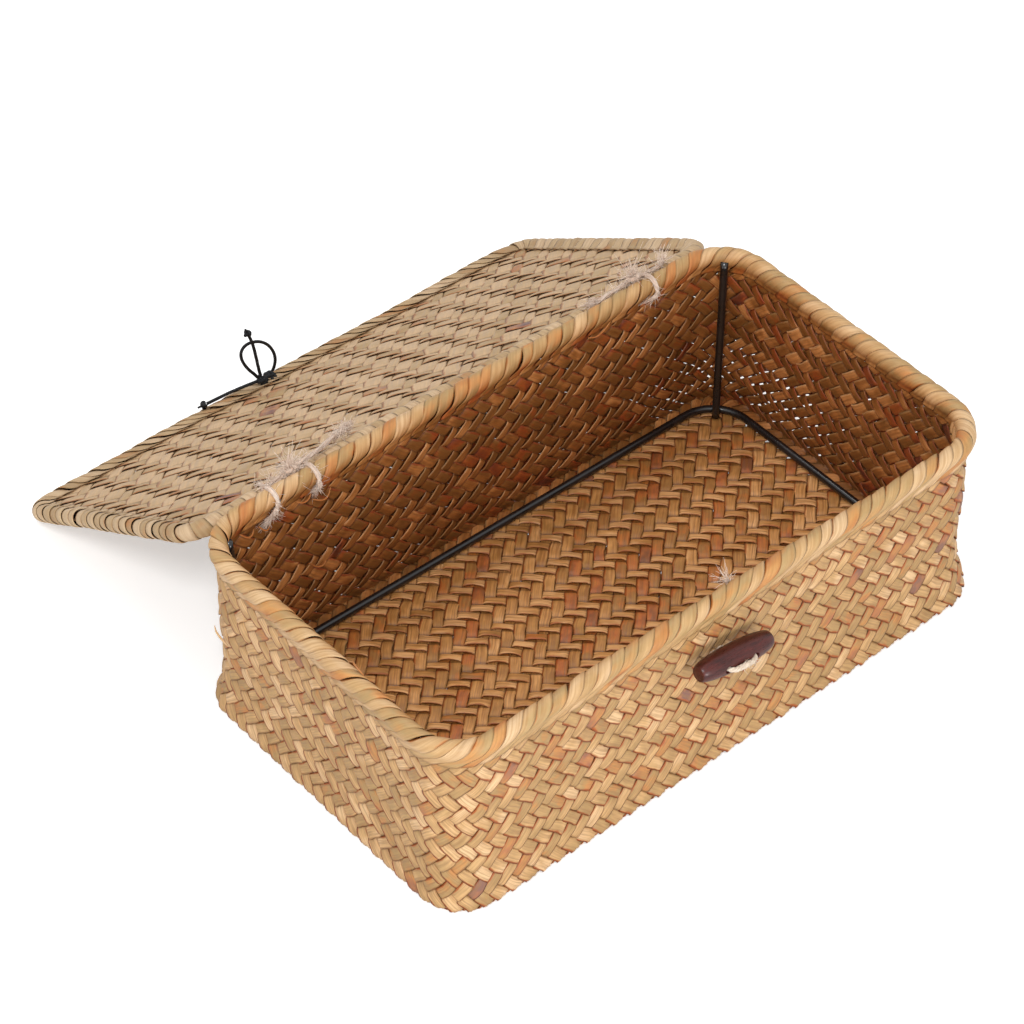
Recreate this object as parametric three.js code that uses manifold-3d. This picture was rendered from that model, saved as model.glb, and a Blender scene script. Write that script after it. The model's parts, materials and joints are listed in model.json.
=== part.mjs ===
// Woven lidded box: a plaited tub on a wire frame, with a rim bead wrapped round its top wire,
// a flat woven lid on two twine ties, a wooden toggle on the front and an elastic loop on the lid.
//
// Frame: millimetres, +X along the box's length, the toggle faces -Y, +Z up.
// The origin is the middle of the underside. The box stands as photographed: the lid is swung
// right back, and its free edge is down on the surface behind the box.

import * as THREE from 'three';
import { mergeVertices } from 'three/addons/utils/BufferGeometryUtils.js';
import Module from 'manifold-3d';

// Box: the rim sizes are those of the rim bead's centreline
const boxLength = 340;
const boxWidth = 190;
const boxHeight = 110;
const rimCornerRadius = 25;
const baseCornerRadius = 20.9;
const baseFlareLength = 0.9;
const baseFlareWidth = 2;
const baseEdgeRadius = 5;
const weaveThickness = 3;
const fitGap = 0.3;
const weldTolerance = 1e-4;

// Wire frame
const wireRadius = 2.1;
const rimBeadRadius = 4.5;
const bottomRingInset = 8.7;
const bottomRingCornerRadius = 23;

// Lid: its sizes are those of the border bead's centreline, its shift is to the left
const lidLength = 332;
const lidDepth = 176;
const lidShift = -1.5;
const lidCornerRadius = 14;
const lidBeadRadius = 4.2;
const lidWireRadius = 1.8;

// Twine ties: each loop goes round the rim bead and the lid's bead like a link of chain
const twineRadius = 1.5;
const tieReach = 10.8;
const tieOpenAngle = -31.8;
const tieKnotRadius = 2.8;
const tieRunRise = 4.4;
const tieKnotAlong = 3.9;
const tieKnotRise = 7.6;
const tieShares = [
  { name: 'hinge_tie_left', loopShares: [-0.741, -0.594, -0.459], knotShare: -0.641 },
  { name: 'hinge_tie_right', loopShares: [0.512, 0.691, 0.771], knotShare: 0.659 },
];

// Toggle
const toggleLength = 46;
const toggleRadius = 6.7;
const toggleEndRadius = 3.4;
const toggleX = -7.3;
const toggleHeight = 76.4;
const toggleTilt = 7.2;
const toggleStandOff = 2.9;
const toggleHoleRadius = 1.8;
const toggleHoleSpacing = 17;
const toggleTwineRadius = 0.95;
const toggleTwineBulge = 1.6;
const stemRadius = 1.6;
const stemKnotRadius = 3.2;

// Elastic loop: one thin cord, hitched round the lid's free bead, knotted, with two tails
const elasticRadius = 0.9;
const loopKnotX = -19.5;
const loopHitchX = -12;
const loopKnotRadius = 2.6;
const loopKnotAngle = 104;
const tailKnotRadius = 1.9;

// Facets
const cornerSteps = 6;
const beadSides = 14;
const wireSides = 8;
const cordSides = 8;
const ringSteps = 16;
const strandSteps = 8;
const loopSteps = 26;
const wallRiseShares = [0.22, 0.45, 0.72, 1];
const edgeArcShares = [0, 0.5, 1];
const barrelShares = [0, 0.06, 0.25, 0.5, 0.75, 0.94, 1];

// Worked out from the sizes above
const rimHalfLength = boxLength / 2;
const rimHalfWidth = boxWidth / 2;
const rimHeight = boxHeight - rimBeadRadius;
const halfWeave = weaveThickness / 2;
const slotHalf = halfWeave + fitGap;
const wallTop = rimHeight - wireRadius - fitGap;
const lidHingeY = rimHalfWidth + tieReach * cosDeg(tieOpenAngle);
const lidHingeZ = rimHeight + tieReach * sinDeg(tieOpenAngle);
const hitchRadius = lidBeadRadius + fitGap + elasticRadius;
const freeEdgeHeight = hitchRadius + elasticRadius;
const lidSlope = Math.asin((lidHingeZ - freeEdgeHeight) / lidDepth);
const ties = tieShares.map(({ name, loopShares, knotShare }) => ({
  name,
  loops: loopShares.map((share) => share * rimHalfLength),
  knot: knotShare * rimHalfLength,
}));
const toggleY = -(wallLevel(toggleHeight, halfWeave).halfWidth + toggleStandOff + toggleRadius);

function cosDeg(degrees) {
  return Math.cos(THREE.MathUtils.degToRad(degrees));
}

function sinDeg(degrees) {
  return Math.sin(THREE.MathUtils.degToRad(degrees));
}

// Joining and cutting of closed meshes
const wasm = await Module();
wasm.setup();

function toSolid(geometry) {
  const bare = geometry.clone();
  bare.deleteAttribute('normal');
  bare.deleteAttribute('uv');
  const merged = mergeVertices(bare, weldTolerance);
  return new wasm.Manifold(new wasm.Mesh({
    numProp: 3,
    vertProperties: Float32Array.from(merged.attributes.position.array),
    triVerts: Uint32Array.from(merged.index.array),
  }));
}

function toGeometry(solid) {
  const mesh = solid.getMesh();
  const geometry = new THREE.BufferGeometry();
  geometry.setAttribute('position', new THREE.BufferAttribute(mesh.vertProperties, 3));
  geometry.setIndex(new THREE.BufferAttribute(mesh.triVerts, 1));
  return geometry;
}

function join(geometries) {
  return toGeometry(geometries.map(toSolid).reduce((whole, next) => whole.add(next)));
}

function cut(geometry, cutters) {
  const whole = toSolid(geometry);
  return toGeometry(cutters.map(toSolid).reduce((rest, next) => rest.subtract(next), whole));
}

// A rounded rectangle as steps of a path, anticlockwise, each with its outward direction
function roundedPath(halfLength, halfWidth, radius, z = 0) {
  const quarters = [[1, 1], [-1, 1], [-1, -1], [1, -1]];
  return quarters.flatMap(([sx, sy], quarter) => Array.from({ length: cornerSteps + 1 }, (_, i) => {
    const angle = (quarter + i / cornerSteps) * Math.PI / 2;
    const outward = new THREE.Vector3(Math.cos(angle), Math.sin(angle), 0);
    const corner = new THREE.Vector3(sx * (halfLength - radius), sy * (halfWidth - radius), z);
    return { point: corner.addScaledVector(outward, radius), outward };
  }));
}

// A circle about an axis along X, as a path
function circlePath(x, y, z, radius) {
  return Array.from({ length: ringSteps }, (_, i) => {
    const angle = i / ringSteps * 2 * Math.PI;
    const outward = new THREE.Vector3(0, Math.cos(angle), Math.sin(angle));
    return { point: new THREE.Vector3(x, y, z).addScaledVector(outward, radius), outward };
  });
}

function roundSection(radius, sides) {
  return Array.from({ length: sides }, (_, i) => {
    const angle = (i + 0.5) / sides * 2 * Math.PI;
    return new THREE.Vector2(radius * Math.cos(angle), radius * Math.sin(angle));
  });
}

// The section of a wrapped bead: a thick C round a wire, with a slot that the weave enters by
function wrapSection(outerRadius, innerRadius, slotAngle) {
  const arc = (radius, sides, forward) => {
    const gap = Math.asin(slotHalf / radius);
    return Array.from({ length: sides + 1 }, (_, i) => {
      const turn = forward ? i / sides : 1 - i / sides;
      const angle = slotAngle + gap + turn * 2 * (Math.PI - gap);
      return new THREE.Vector2(radius * Math.cos(angle), radius * Math.sin(angle));
    });
  };
  return [...arc(outerRadius, beadSides, true), ...arc(innerRadius, wireSides, false)];
}

function closedMesh(rows, closedRows) {
  const across = rows[0].length;
  const positions = rows.flat().flatMap((p) => [p.x, p.y, p.z]);
  const index = [];
  const last = closedRows ? rows.length : rows.length - 1;
  for (let i = 0; i < last; i += 1) {
    for (let j = 0; j < across; j += 1) {
      const here = i * across;
      const next = (i + 1) % rows.length * across;
      const k = (j + 1) % across;
      index.push(here + j, next + j, next + k, here + j, next + k, here + k);
    }
  }
  if (!closedRows) {
    const top = (rows.length - 1) * across;
    for (let j = 1; j < across - 1; j += 1) {
      index.push(0, j, j + 1, top, top + j + 1, top + j);
    }
  }
  const geometry = new THREE.BufferGeometry();
  geometry.setAttribute('position', new THREE.Float32BufferAttribute(positions, 3));
  geometry.setIndex(index);
  return geometry;
}

// Carries a closed section round a closed path: its x runs outward, its y along up
function sweep(path, section, up = new THREE.Vector3(0, 0, 1)) {
  const rows = path.map(({ point, outward }) => section.map(
    (s) => point.clone().addScaledVector(outward, s.x).addScaledVector(up, s.y)));
  return closedMesh(rows, true);
}

// A twine or cord ring about an axis along X
function ringAboutX(x, y, z, radius, tubeRadius) {
  const section = roundSection(tubeRadius, cordSides);
  return sweep(circlePath(x, y, z, radius), section, new THREE.Vector3(1, 0, 0));
}

// A round cord along a smooth curve through points
function cordTube(points, radius, steps) {
  const outline = new THREE.Shape(roundSection(radius, cordSides));
  const extrudePath = new THREE.CatmullRomCurve3(points, false, 'centripetal');
  return new THREE.ExtrudeGeometry(outline, { steps, extrudePath, bevelEnabled: false });
}

function knotBall(radius, x, y, z) {
  return new THREE.IcosahedronGeometry(radius, 1).translate(x, y, z);
}

const group = new THREE.Group();

function addPiece(name, geometry, finish, parent = group) {
  const mesh = new THREE.Mesh(geometry, new THREE.MeshStandardMaterial(finish));
  mesh.name = name;
  parent.add(mesh);
}

// Finishes
const straw = { color: 0xc69c5f, roughness: 0.8 };
const paleStraw = { color: 0xd4ac6c, roughness: 0.75 };
const lidStraw = { color: 0xb99a72, roughness: 0.8 };
const blackWire = { color: 0x17161a, roughness: 0.4, metalness: 0.3 };
const jute = { color: 0xc9b09a, roughness: 0.95 };
const darkWood = { color: 0x4a2220, roughness: 0.35 };
const creamTwine = { color: 0xe2d3b8, roughness: 0.9 };
const blackElastic = { color: 0x1b1c22, roughness: 0.6 };

// The tub's outline at a height: wider and sharper-cornered towards its base
function wallLevel(z, offset) {
  const spread = (1 - z / wallTop) ** 2;
  return {
    halfLength: rimHalfLength + baseFlareLength * spread + offset,
    halfWidth: rimHalfWidth + baseFlareWidth * spread + offset,
    radius: rimCornerRadius + (baseCornerRadius - rimCornerRadius) * spread + offset,
    z,
  };
}

// One side of the woven wall, from its fold at the base up to its top edge
function wallSide(offset, floorHeight, foldRadius) {
  const fold = edgeArcShares.map((share) => {
    const angle = share * Math.PI / 2;
    const z = floorHeight + foldRadius * (1 - Math.cos(angle));
    return wallLevel(z, offset - foldRadius * (1 - Math.sin(angle)));
  });
  const foldTop = floorHeight + foldRadius;
  const rise = wallRiseShares.map((share) => wallLevel(foldTop + share * (wallTop - foldTop), offset));
  return [...fold, ...rise];
}

const tieRingRadius = rimBeadRadius + fitGap + twineRadius;
const lidRingRadius = lidBeadRadius + fitGap + twineRadius;

// The slot in the wall below the rim bead, tall enough for a tie's loop at every angle of the lid
function tieSlot(x) {
  const high = tieRingRadius - twineRadius - fitGap;
  const low = (tieRingRadius + twineRadius + fitGap + halfWeave * Math.abs(sinDeg(tieOpenAngle)))
    / cosDeg(tieOpenAngle);
  const slot = new THREE.BoxGeometry(2 * (twineRadius + fitGap), 4 * weaveThickness, low - high);
  return slot.translate(x, rimHalfWidth, rimHeight - (low + high) / 2);
}

function wovenTub() {
  const outside = wallSide(halfWeave, 0, baseEdgeRadius);
  const inside = wallSide(-halfWeave, weaveThickness, baseEdgeRadius - weaveThickness);
  const levels = [...outside, ...inside.reverse()];
  const rows = levels.map(({ halfLength, halfWidth, radius, z }) => (
    roundedPath(halfLength, halfWidth, radius, z).map((step) => step.point).reverse()));
  const tieSlots = ties.flatMap(({ loops }) => loops.map(tieSlot));
  const stemHole = new THREE.CylinderGeometry(
    stemRadius + fitGap, stemRadius + fitGap, 4 * weaveThickness, wireSides);
  stemHole.translate(toggleX, -rimHalfWidth, toggleHeight);
  return cut(closedMesh(rows, false), [...tieSlots, stemHole]);
}

addPiece('woven_tub', wovenTub(), straw);

// Wire frame: the bottom ring lies on the woven floor, the posts lean out to the top ring
const baseHalfLength = wallLevel(0, halfWeave).halfLength;
const baseHalfWidth = wallLevel(0, halfWeave).halfWidth;
const bottomRingZ = weaveThickness + fitGap + wireRadius;
const ringHalfLength = baseHalfLength - bottomRingInset;
const ringHalfWidth = baseHalfWidth - bottomRingInset;
const wireSection = roundSection(wireRadius, wireSides);
const bottomRingPath = roundedPath(ringHalfLength, ringHalfWidth, bottomRingCornerRadius, bottomRingZ);
addPiece('bottom_wire_ring', sweep(bottomRingPath, wireSection), blackWire);

const rimPath = roundedPath(rimHalfLength, rimHalfWidth, rimCornerRadius, rimHeight);
addPiece('top_wire_ring', sweep(rimPath, wireSection), blackWire);

// The point just inside a rounded rectangle's corner where a post's axis passes
function cornerPoint(halfLength, halfWidth, radius) {
  const inset = 2 * wireRadius + fitGap;
  const reach = (radius - inset) * Math.SQRT1_2 - radius;
  return new THREE.Vector2(halfLength + reach, halfWidth + reach);
}

const postFoot = cornerPoint(ringHalfLength, ringHalfWidth, bottomRingCornerRadius);
const postHead = cornerPoint(rimHalfLength, rimHalfWidth, rimCornerRadius);
const corners = [
  { name: 'back_right', sx: 1, sy: 1 },
  { name: 'back_left', sx: -1, sy: 1 },
  { name: 'front_left', sx: -1, sy: -1 },
  { name: 'front_right', sx: 1, sy: -1 },
];

function cornerPost({ sx, sy }, radius) {
  const foot = new THREE.Vector3(sx * postFoot.x, sy * postFoot.y, weaveThickness + 2 * fitGap);
  const head = new THREE.Vector3(sx * postHead.x, sy * postHead.y, rimHeight);
  const length = foot.distanceTo(head);
  const post = new THREE.CylinderGeometry(radius, radius, length, wireSides);
  const lean = new THREE.Quaternion().setFromUnitVectors(
    new THREE.Vector3(0, 1, 0), head.clone().sub(foot).normalize());
  const middle = foot.clone().add(head).divideScalar(2);
  return post.applyQuaternion(lean).translate(middle.x, middle.y, middle.z);
}

for (const corner of corners) {
  addPiece(`corner_post_${corner.name}`, cornerPost(corner, wireRadius), blackWire);
}

// The rim bead: strips wound round the top wire and the wall's edge, open below for the wall
const rimSection = wrapSection(rimBeadRadius, wireRadius + fitGap, -Math.PI / 2);
const postNotches = corners.map((corner) => cornerPost(corner, wireRadius + fitGap));
addPiece('rim_wrap', cut(sweep(rimPath, rimSection), postNotches), paleStraw);

// Twine ties: links round the two beads, a run of twine along the groove between them, and a knot
const linkDirection = new THREE.Vector3(0, cosDeg(tieOpenAngle), sinDeg(tieOpenAngle));
const linkSide = new THREE.Vector3(0, -linkDirection.z, linkDirection.y);

function linkPoint(x, along, rise) {
  return new THREE.Vector3(x, rimHalfWidth, rimHeight)
    .addScaledVector(linkDirection, along).addScaledVector(linkSide, rise);
}

function tieLink(x) {
  const half = (along, radius, startAngle) => Array.from({ length: ringSteps / 2 + 1 }, (_, i) => {
    const angle = startAngle + i / ringSteps * 2 * Math.PI;
    const outward = new THREE.Vector3().addScaledVector(linkDirection, Math.cos(angle))
      .addScaledVector(linkSide, Math.sin(angle));
    return { point: linkPoint(x, along, 0).addScaledVector(outward, radius), outward };
  });
  const path = [...half(0, tieRingRadius, Math.PI / 2), ...half(tieReach, lidRingRadius, -Math.PI / 2)];
  return sweep(path, roundSection(twineRadius, cordSides), new THREE.Vector3(1, 0, 0));
}

function hingeTie({ loops, knot }) {
  const along = (tieReach + tieRingRadius - lidRingRadius) / 2;
  const left = Math.min(...loops);
  const right = Math.max(...loops);
  const runAt = linkPoint((left + right) / 2, along, tieRunRise);
  const run = new THREE.CylinderGeometry(twineRadius, twineRadius, right - left, cordSides);
  run.rotateZ(Math.PI / 2).translate(runAt.x, runAt.y, runAt.z);
  const knotAt = linkPoint(knot, tieKnotAlong, tieKnotRise);
  const seat = cordTube([linkPoint(knot, along, tieRunRise), knotAt], twineRadius, 1);
  const ball = knotBall(tieKnotRadius, knotAt.x, knotAt.y, knotAt.z);
  return join([run, seat, ball, ...loops.map(tieLink)]);
}

for (const tie of ties) {
  addPiece(tie.name, hingeTie(tie), jute);
}

// Lid: its group has its origin on the hinge bead's axis, +Y down the slope, +Z off the inner face
const lid = new THREE.Group();
lid.position.set(lidShift, lidHingeY, lidHingeZ);
lid.rotation.x = -lidSlope;
group.add(lid);

const lidPath = roundedPath(lidLength / 2, lidDepth / 2, lidCornerRadius);
const lidMiddle = lidDepth / 2;
const lidCavity = lidWireRadius + fitGap;
const lidSection = wrapSection(lidBeadRadius, lidCavity, Math.PI);
const lidBorder = sweep(lidPath, lidSection).translate(0, lidMiddle, 0);
addPiece('lid_border', lidBorder, paleStraw, lid);
const lidRing = sweep(lidPath, roundSection(lidWireRadius, wireSides)).translate(0, lidMiddle, 0);
addPiece('lid_wire_ring', lidRing, blackWire, lid);

// The woven sheet reaches into the border bead up to the cavity for the wire
function lidPanel() {
  const outline = roundedPath(
    lidLength / 2 - lidCavity, lidDepth / 2 - lidCavity, lidCornerRadius - lidCavity);
  const shape = new THREE.Shape(outline.map(({ point }) => new THREE.Vector2(point.x, point.y)));
  const sheet = new THREE.ExtrudeGeometry(shape, { depth: weaveThickness, bevelEnabled: false });
  sheet.translate(0, lidMiddle, -halfWeave);
  const tieHoles = ties.flatMap(({ loops }) => loops.map(
    (x) => ringAboutX(x - lidShift, 0, 0, lidRingRadius, twineRadius + fitGap)));
  const hitchHole = ringAboutX(loopHitchX - lidShift, lidDepth, 0, hitchRadius, elasticRadius + fitGap);
  return cut(sheet, [...tieHoles, hitchHole]);
}

addPiece('lid_panel', lidPanel(), lidStraw, lid);

// Toggle: a barrel with flat ends and two holes, hung on twine through the front wall
const toggle = new THREE.Group();
toggle.position.set(toggleX, toggleY, toggleHeight);
toggle.rotation.y = THREE.MathUtils.degToRad(toggleTilt);
group.add(toggle);

function toggleBarrel() {
  const side = barrelShares.map((share) => {
    const bow = 1 - (2 * share - 1) ** 2;
    const radius = toggleEndRadius + (toggleRadius - toggleEndRadius) * Math.sqrt(bow);
    return new THREE.Vector2(radius, (share - 1 / 2) * toggleLength);
  });
  const ends = [-1, 1].map((sign) => new THREE.Vector2(0, sign * toggleLength / 2));
  const barrel = new THREE.LatheGeometry([ends[0], ...side, ends[1]], beadSides).rotateZ(-Math.PI / 2);
  const holes = [-1, 1].map((sign) => new THREE.CylinderGeometry(
    toggleHoleRadius, toggleHoleRadius, 4 * toggleRadius, wireSides,
  ).translate(sign * toggleHoleSpacing / 2, 0, 0));
  return cut(barrel, holes);
}

addPiece('toggle', toggleBarrel(), darkWood, toggle);

// The twine's stitch over the front of the toggle and back through both holes to the stem
function toggleStitch() {
  const hole = toggleHoleSpacing / 2;
  const behind = toggleRadius + toggleStandOff / 2;
  const start = toggleRadius + toggleStandOff - toggleTwineRadius + fitGap / 2;
  const front = toggleRadius + toggleTwineBulge;
  const halfRoute = [
    [toggleTwineRadius + fitGap / 2, start],
    [hole / 3, behind],
    [2 * hole / 3, behind],
    [hole - toggleTwineRadius / 4, toggleRadius],
    [hole, toggleRadius / 2],
    [hole, -toggleRadius / 2],
    [hole - toggleTwineRadius / 2, -toggleRadius],
    [hole / 2, -front],
  ];
  const route = [
    ...halfRoute.map(([x, y]) => new THREE.Vector3(-x, y, 0)),
    ...halfRoute.reverse().map(([x, y]) => new THREE.Vector3(x, y, 0)),
  ];
  return cordTube(route, toggleTwineRadius, 2 * route.length);
}

addPiece('toggle_twine', toggleStitch(), creamTwine, toggle);

// The twine's stem through the wall, and the knot that stops it inside
function toggleStem() {
  const outer = wallLevel(toggleHeight, halfWeave).halfWidth;
  const length = weaveThickness + stemKnotRadius;
  const stem = new THREE.CylinderGeometry(stemRadius, stemRadius, length, wireSides);
  stem.translate(toggleX, length / 2 - outer, toggleHeight);
  const knot = knotBall(stemKnotRadius, toggleX, length + fitGap - outer, toggleHeight);
  return join([stem, knot]);
}

addPiece('toggle_stem_knot', toggleStem(), creamTwine);

// Elastic cord: its group has its origin on the free bead's axis, at the knot's place along X
const elastic = new THREE.Group();
const freeEdgeY = lidHingeY + lidDepth * Math.cos(lidSlope);
elastic.position.set(loopKnotX, freeEdgeY, freeEdgeHeight);
group.add(elastic);

const knotReach = lidBeadRadius + fitGap + loopKnotRadius;
const knotY = knotReach * cosDeg(loopKnotAngle);
const knotZ = knotReach * sinDeg(loopKnotAngle);

function loopHitch() {
  const hitchX = loopHitchX - loopKnotX;
  const seatY = hitchRadius * cosDeg(loopKnotAngle);
  const seatZ = hitchRadius * sinDeg(loopKnotAngle);
  const seat = new THREE.Vector3(hitchX, seatY, seatZ);
  const strand = cordTube([seat, new THREE.Vector3(0, knotY, knotZ)], elasticRadius, 1);
  return join([
    ringAboutX(hitchX, 0, 0, hitchRadius, elasticRadius),
    strand,
    knotBall(loopKnotRadius, 0, knotY, knotZ),
  ]);
}

addPiece('loop_knot', loopHitch(), blackElastic, elastic);

// Routes of the cord's free stretches, from the knot's middle, and the knots that end the tails
const loopRoute = [
  [-2.1, 0.6, 2.5], [-4.1, 1, 5.9], [-6.1, 1.5, 8.9], [-8, 2, 12.4], [-9.5, 2.5, 16.1],
  [-10.2, 3, 19.8], [-9.6, 3.5, 22.8], [-7.5, 3.9, 24.8], [-4.3, 4.3, 25.2], [-0.3, 4.7, 24],
  [3.9, 5, 21.6], [7.9, 5.4, 17.7], [11.1, 5.8, 12.8], [13.3, 6.2, 7.3], [14.2, 6.7, 2],
  [13.8, 7.3, -2.6], [12.9, 7.9, -5.9], [11.4, 8.4, -8.2], [9.6, 8.8, -9.6], [8, 9, -10.1],
];
const upTailRoute = [
  [-0.2, 0.5, 3], [-0.6, 0.5, 4.7], [-0.9, 0.6, 6.5], [-1.1, 0.7, 8.7], [-1.4, 0.9, 11.2],
  [-1.6, 1, 13.7], [-1.9, 1.1, 16.2], [-2.2, 1.2, 18.7], [-2.4, 1.4, 21.2], [-2.8, 1.5, 23.7],
  [-3.2, 1.6, 26.3], [-3.8, 1.7, 28.7], [-4.4, 1.9, 31], [-5.1, 2, 33.1],
];
const sideTailRoute = [
  [-2.8, 0.2, 0.5], [-5, 0.6, 0.4], [-7.1, 1, 0.4], [-9.3, 1.4, 0.3], [-11.5, 1.7, 0.3],
  [-13.6, 2.1, 0.2], [-15.8, 2.5, 0], [-18, 2.9, -0.1], [-20.1, 3.3, -0.3], [-22.3, 3.7, -0.6],
  [-24.5, 4, -0.8], [-26.7, 4.4, -1.1], [-28.8, 4.8, -1.4], [-31, 5.2, -1.7], [-32.7, 5.6, -2],
];

function routePoints(route) {
  return route.map(([x, y, z]) => new THREE.Vector3(x, y + knotY, z + knotZ));
}

function tailKnot(route) {
  const [before, end] = routePoints(route).slice(-2);
  const onward = end.clone().sub(before).normalize();
  const at = end.clone().addScaledVector(onward, tailKnotRadius + fitGap);
  return knotBall(tailKnotRadius, at.x, at.y, at.z);
}

function freeCord(route, steps) {
  return cordTube(routePoints(route), elasticRadius, steps);
}

addPiece('elastic_loop', freeCord(loopRoute, loopSteps), blackElastic, elastic);
addPiece('loop_tail_up', freeCord(upTailRoute, strandSteps), blackElastic, elastic);
addPiece('loop_tail_side', freeCord(sideTailRoute, strandSteps), blackElastic, elastic);
addPiece('tail_knot_up', tailKnot(upTailRoute), blackElastic, elastic);
addPiece('tail_knot_side', tailKnot(sideTailRoute), blackElastic, elastic);

export default group;
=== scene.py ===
# %% [markdown]
# A woven lidded box
#
# The box is plaited from flat strips of dried grass on a frame of black wire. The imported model
# gives every piece its place, so the first cell loads it and keeps its size. The looks are then
# made around it in metres: X along the box, the toggle towards -Y, Z up.

# %% Load the frame
import json
import math

import bpy
import numpy as np
from mathutils import Matrix, Vector


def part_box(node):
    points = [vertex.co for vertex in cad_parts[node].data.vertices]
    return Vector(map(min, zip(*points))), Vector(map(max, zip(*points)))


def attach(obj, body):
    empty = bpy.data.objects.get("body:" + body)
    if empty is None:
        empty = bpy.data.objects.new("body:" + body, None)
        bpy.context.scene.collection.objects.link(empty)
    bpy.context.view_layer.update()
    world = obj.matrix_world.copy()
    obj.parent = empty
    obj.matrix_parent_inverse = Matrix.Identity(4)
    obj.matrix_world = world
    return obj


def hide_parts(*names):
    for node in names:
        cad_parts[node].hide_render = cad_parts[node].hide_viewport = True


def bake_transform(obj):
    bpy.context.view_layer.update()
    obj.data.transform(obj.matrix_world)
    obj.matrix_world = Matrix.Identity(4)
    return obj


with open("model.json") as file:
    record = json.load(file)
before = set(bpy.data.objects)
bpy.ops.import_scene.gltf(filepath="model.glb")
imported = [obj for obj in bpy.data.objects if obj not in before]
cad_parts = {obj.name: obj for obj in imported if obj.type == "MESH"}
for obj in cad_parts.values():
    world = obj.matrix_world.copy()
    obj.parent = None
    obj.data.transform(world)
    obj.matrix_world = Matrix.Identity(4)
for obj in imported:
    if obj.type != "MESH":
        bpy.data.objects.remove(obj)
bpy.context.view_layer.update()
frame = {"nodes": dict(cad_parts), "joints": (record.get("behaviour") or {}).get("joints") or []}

joints = {joint["name"]: np.array(joint["pos_m"]) for joint in frame["joints"]}

# %% [markdown]
# The camera
#
# A long lens from far off keeps the long edges of the box nearly parallel, as a product
# photograph does. The camera is described as a photographer would: which way it looks, how
# high it stands, how far away it is and what it points at.

# %% Camera
VIEW_AZIMUTH = -39.70
VIEW_ELEVATION = 43.99
VIEW_ROLL = -0.364
VIEW_DISTANCE = 1.7021
VIEW_TARGET = (-0.0451, 0.0111, 0.1077)
LENS_MM = 125.19

azimuth, elevation, roll = (math.radians(a) for a in (VIEW_AZIMUTH, VIEW_ELEVATION, VIEW_ROLL))
back = Vector((math.sin(azimuth) * math.cos(elevation),
               -math.cos(azimuth) * math.cos(elevation),
               math.sin(elevation)))
level_right = Vector((math.cos(azimuth), math.sin(azimuth), 0))
level_up = back.cross(level_right)
right = level_right * math.cos(roll) + level_up * math.sin(roll)
up = back.cross(right)
camera = bpy.data.objects.new("camera", bpy.data.cameras.new("camera"))
bpy.context.scene.collection.objects.link(camera)
camera.data.lens = LENS_MM
camera.data.sensor_width = 36
camera.location = Vector(VIEW_TARGET) + back * VIEW_DISTANCE
camera.rotation_euler = Matrix((right, up, back)).transposed().to_euler()
camera.data.clip_end = 20
bpy.context.scene.camera = camera
print("camera at", [round(c, 3) for c in camera.location])

# %% [markdown]
# Nodes with little writing
#
# The finishes are built from a few kinds of node again and again: sums, noise, ranges and
# mixes. One helper for each keeps the materials short enough to read.

# %% Small helpers for nodes
def new_group(name, inputs, outputs):
    """A shader node group with number sockets."""
    group = bpy.data.node_groups.new(name, "ShaderNodeTree")
    for label, default in inputs:
        socket = group.interface.new_socket(label, in_out="INPUT", socket_type="NodeSocketFloat")
        socket.default_value = default
    for label in outputs:
        group.interface.new_socket(label, in_out="OUTPUT", socket_type="NodeSocketFloat")
    return group, group.nodes.new("NodeGroupInput"), group.nodes.new("NodeGroupOutput")


def join_or_set(tree, socket, value):
    """A value into a socket: a link, a number or an RGB triple."""
    if isinstance(value, (int, float)):
        socket.default_value = value
    elif isinstance(value, tuple):
        socket.default_value = (*value, 1)
    else:
        tree.links.new(value, socket)


def math_node(tree, operation, a, b=None):
    """One Math node; a and b are sockets or numbers."""
    node = tree.nodes.new("ShaderNodeMath")
    node.operation = operation
    join_or_set(tree, node.inputs[0], a)
    if b is not None:
        join_or_set(tree, node.inputs[1], b)
    return node.outputs[0]


def times(tree, a, b):
    """Two values multiplied."""
    return math_node(tree, "MULTIPLY", a, b)


def noise_node(tree, vector, scale, detail=3.0, roughness=0.55):
    """A noise texture's value."""
    node = tree.nodes.new("ShaderNodeTexNoise")
    node.inputs["Scale"].default_value = scale
    node.inputs["Detail"].default_value = detail
    node.inputs["Roughness"].default_value = roughness
    tree.links.new(vector, node.inputs["Vector"])
    return node.outputs["Fac"]


def remap(tree, value, low, high, to_low=0.0, to_high=1.0):
    """A value moved from one range to another, and held inside it."""
    node = tree.nodes.new("ShaderNodeMapRange")
    ends = {"From Min": low, "From Max": high, "To Min": to_low, "To Max": to_high}
    for key, number in ends.items():
        node.inputs[key].default_value = number
    tree.links.new(value, node.inputs["Value"])
    return node.outputs["Result"]


def mix_colour(tree, factor, a, b, blend="MIX"):
    """Two colours mixed; each is a socket or an RGB triple."""
    node = tree.nodes.new("ShaderNodeMix")
    node.data_type = "RGBA"
    node.blend_type = blend
    join_or_set(tree, node.inputs["Factor"], factor)
    join_or_set(tree, node.inputs[6], a)
    join_or_set(tree, node.inputs[7], b)
    return node.outputs[2]


def vector_node(tree, x, y, z):
    """Three numbers as a vector."""
    node = tree.nodes.new("ShaderNodeCombineXYZ")
    for socket, value in zip(node.inputs, (x, y, z)):
        join_or_set(tree, socket, value)
    return node.outputs[0]


def attribute_node(tree, name):
    """A number that the mesh carries at each point."""
    node = tree.nodes.new("ShaderNodeAttribute")
    node.attribute_name = name
    return node.outputs["Fac"]


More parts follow.
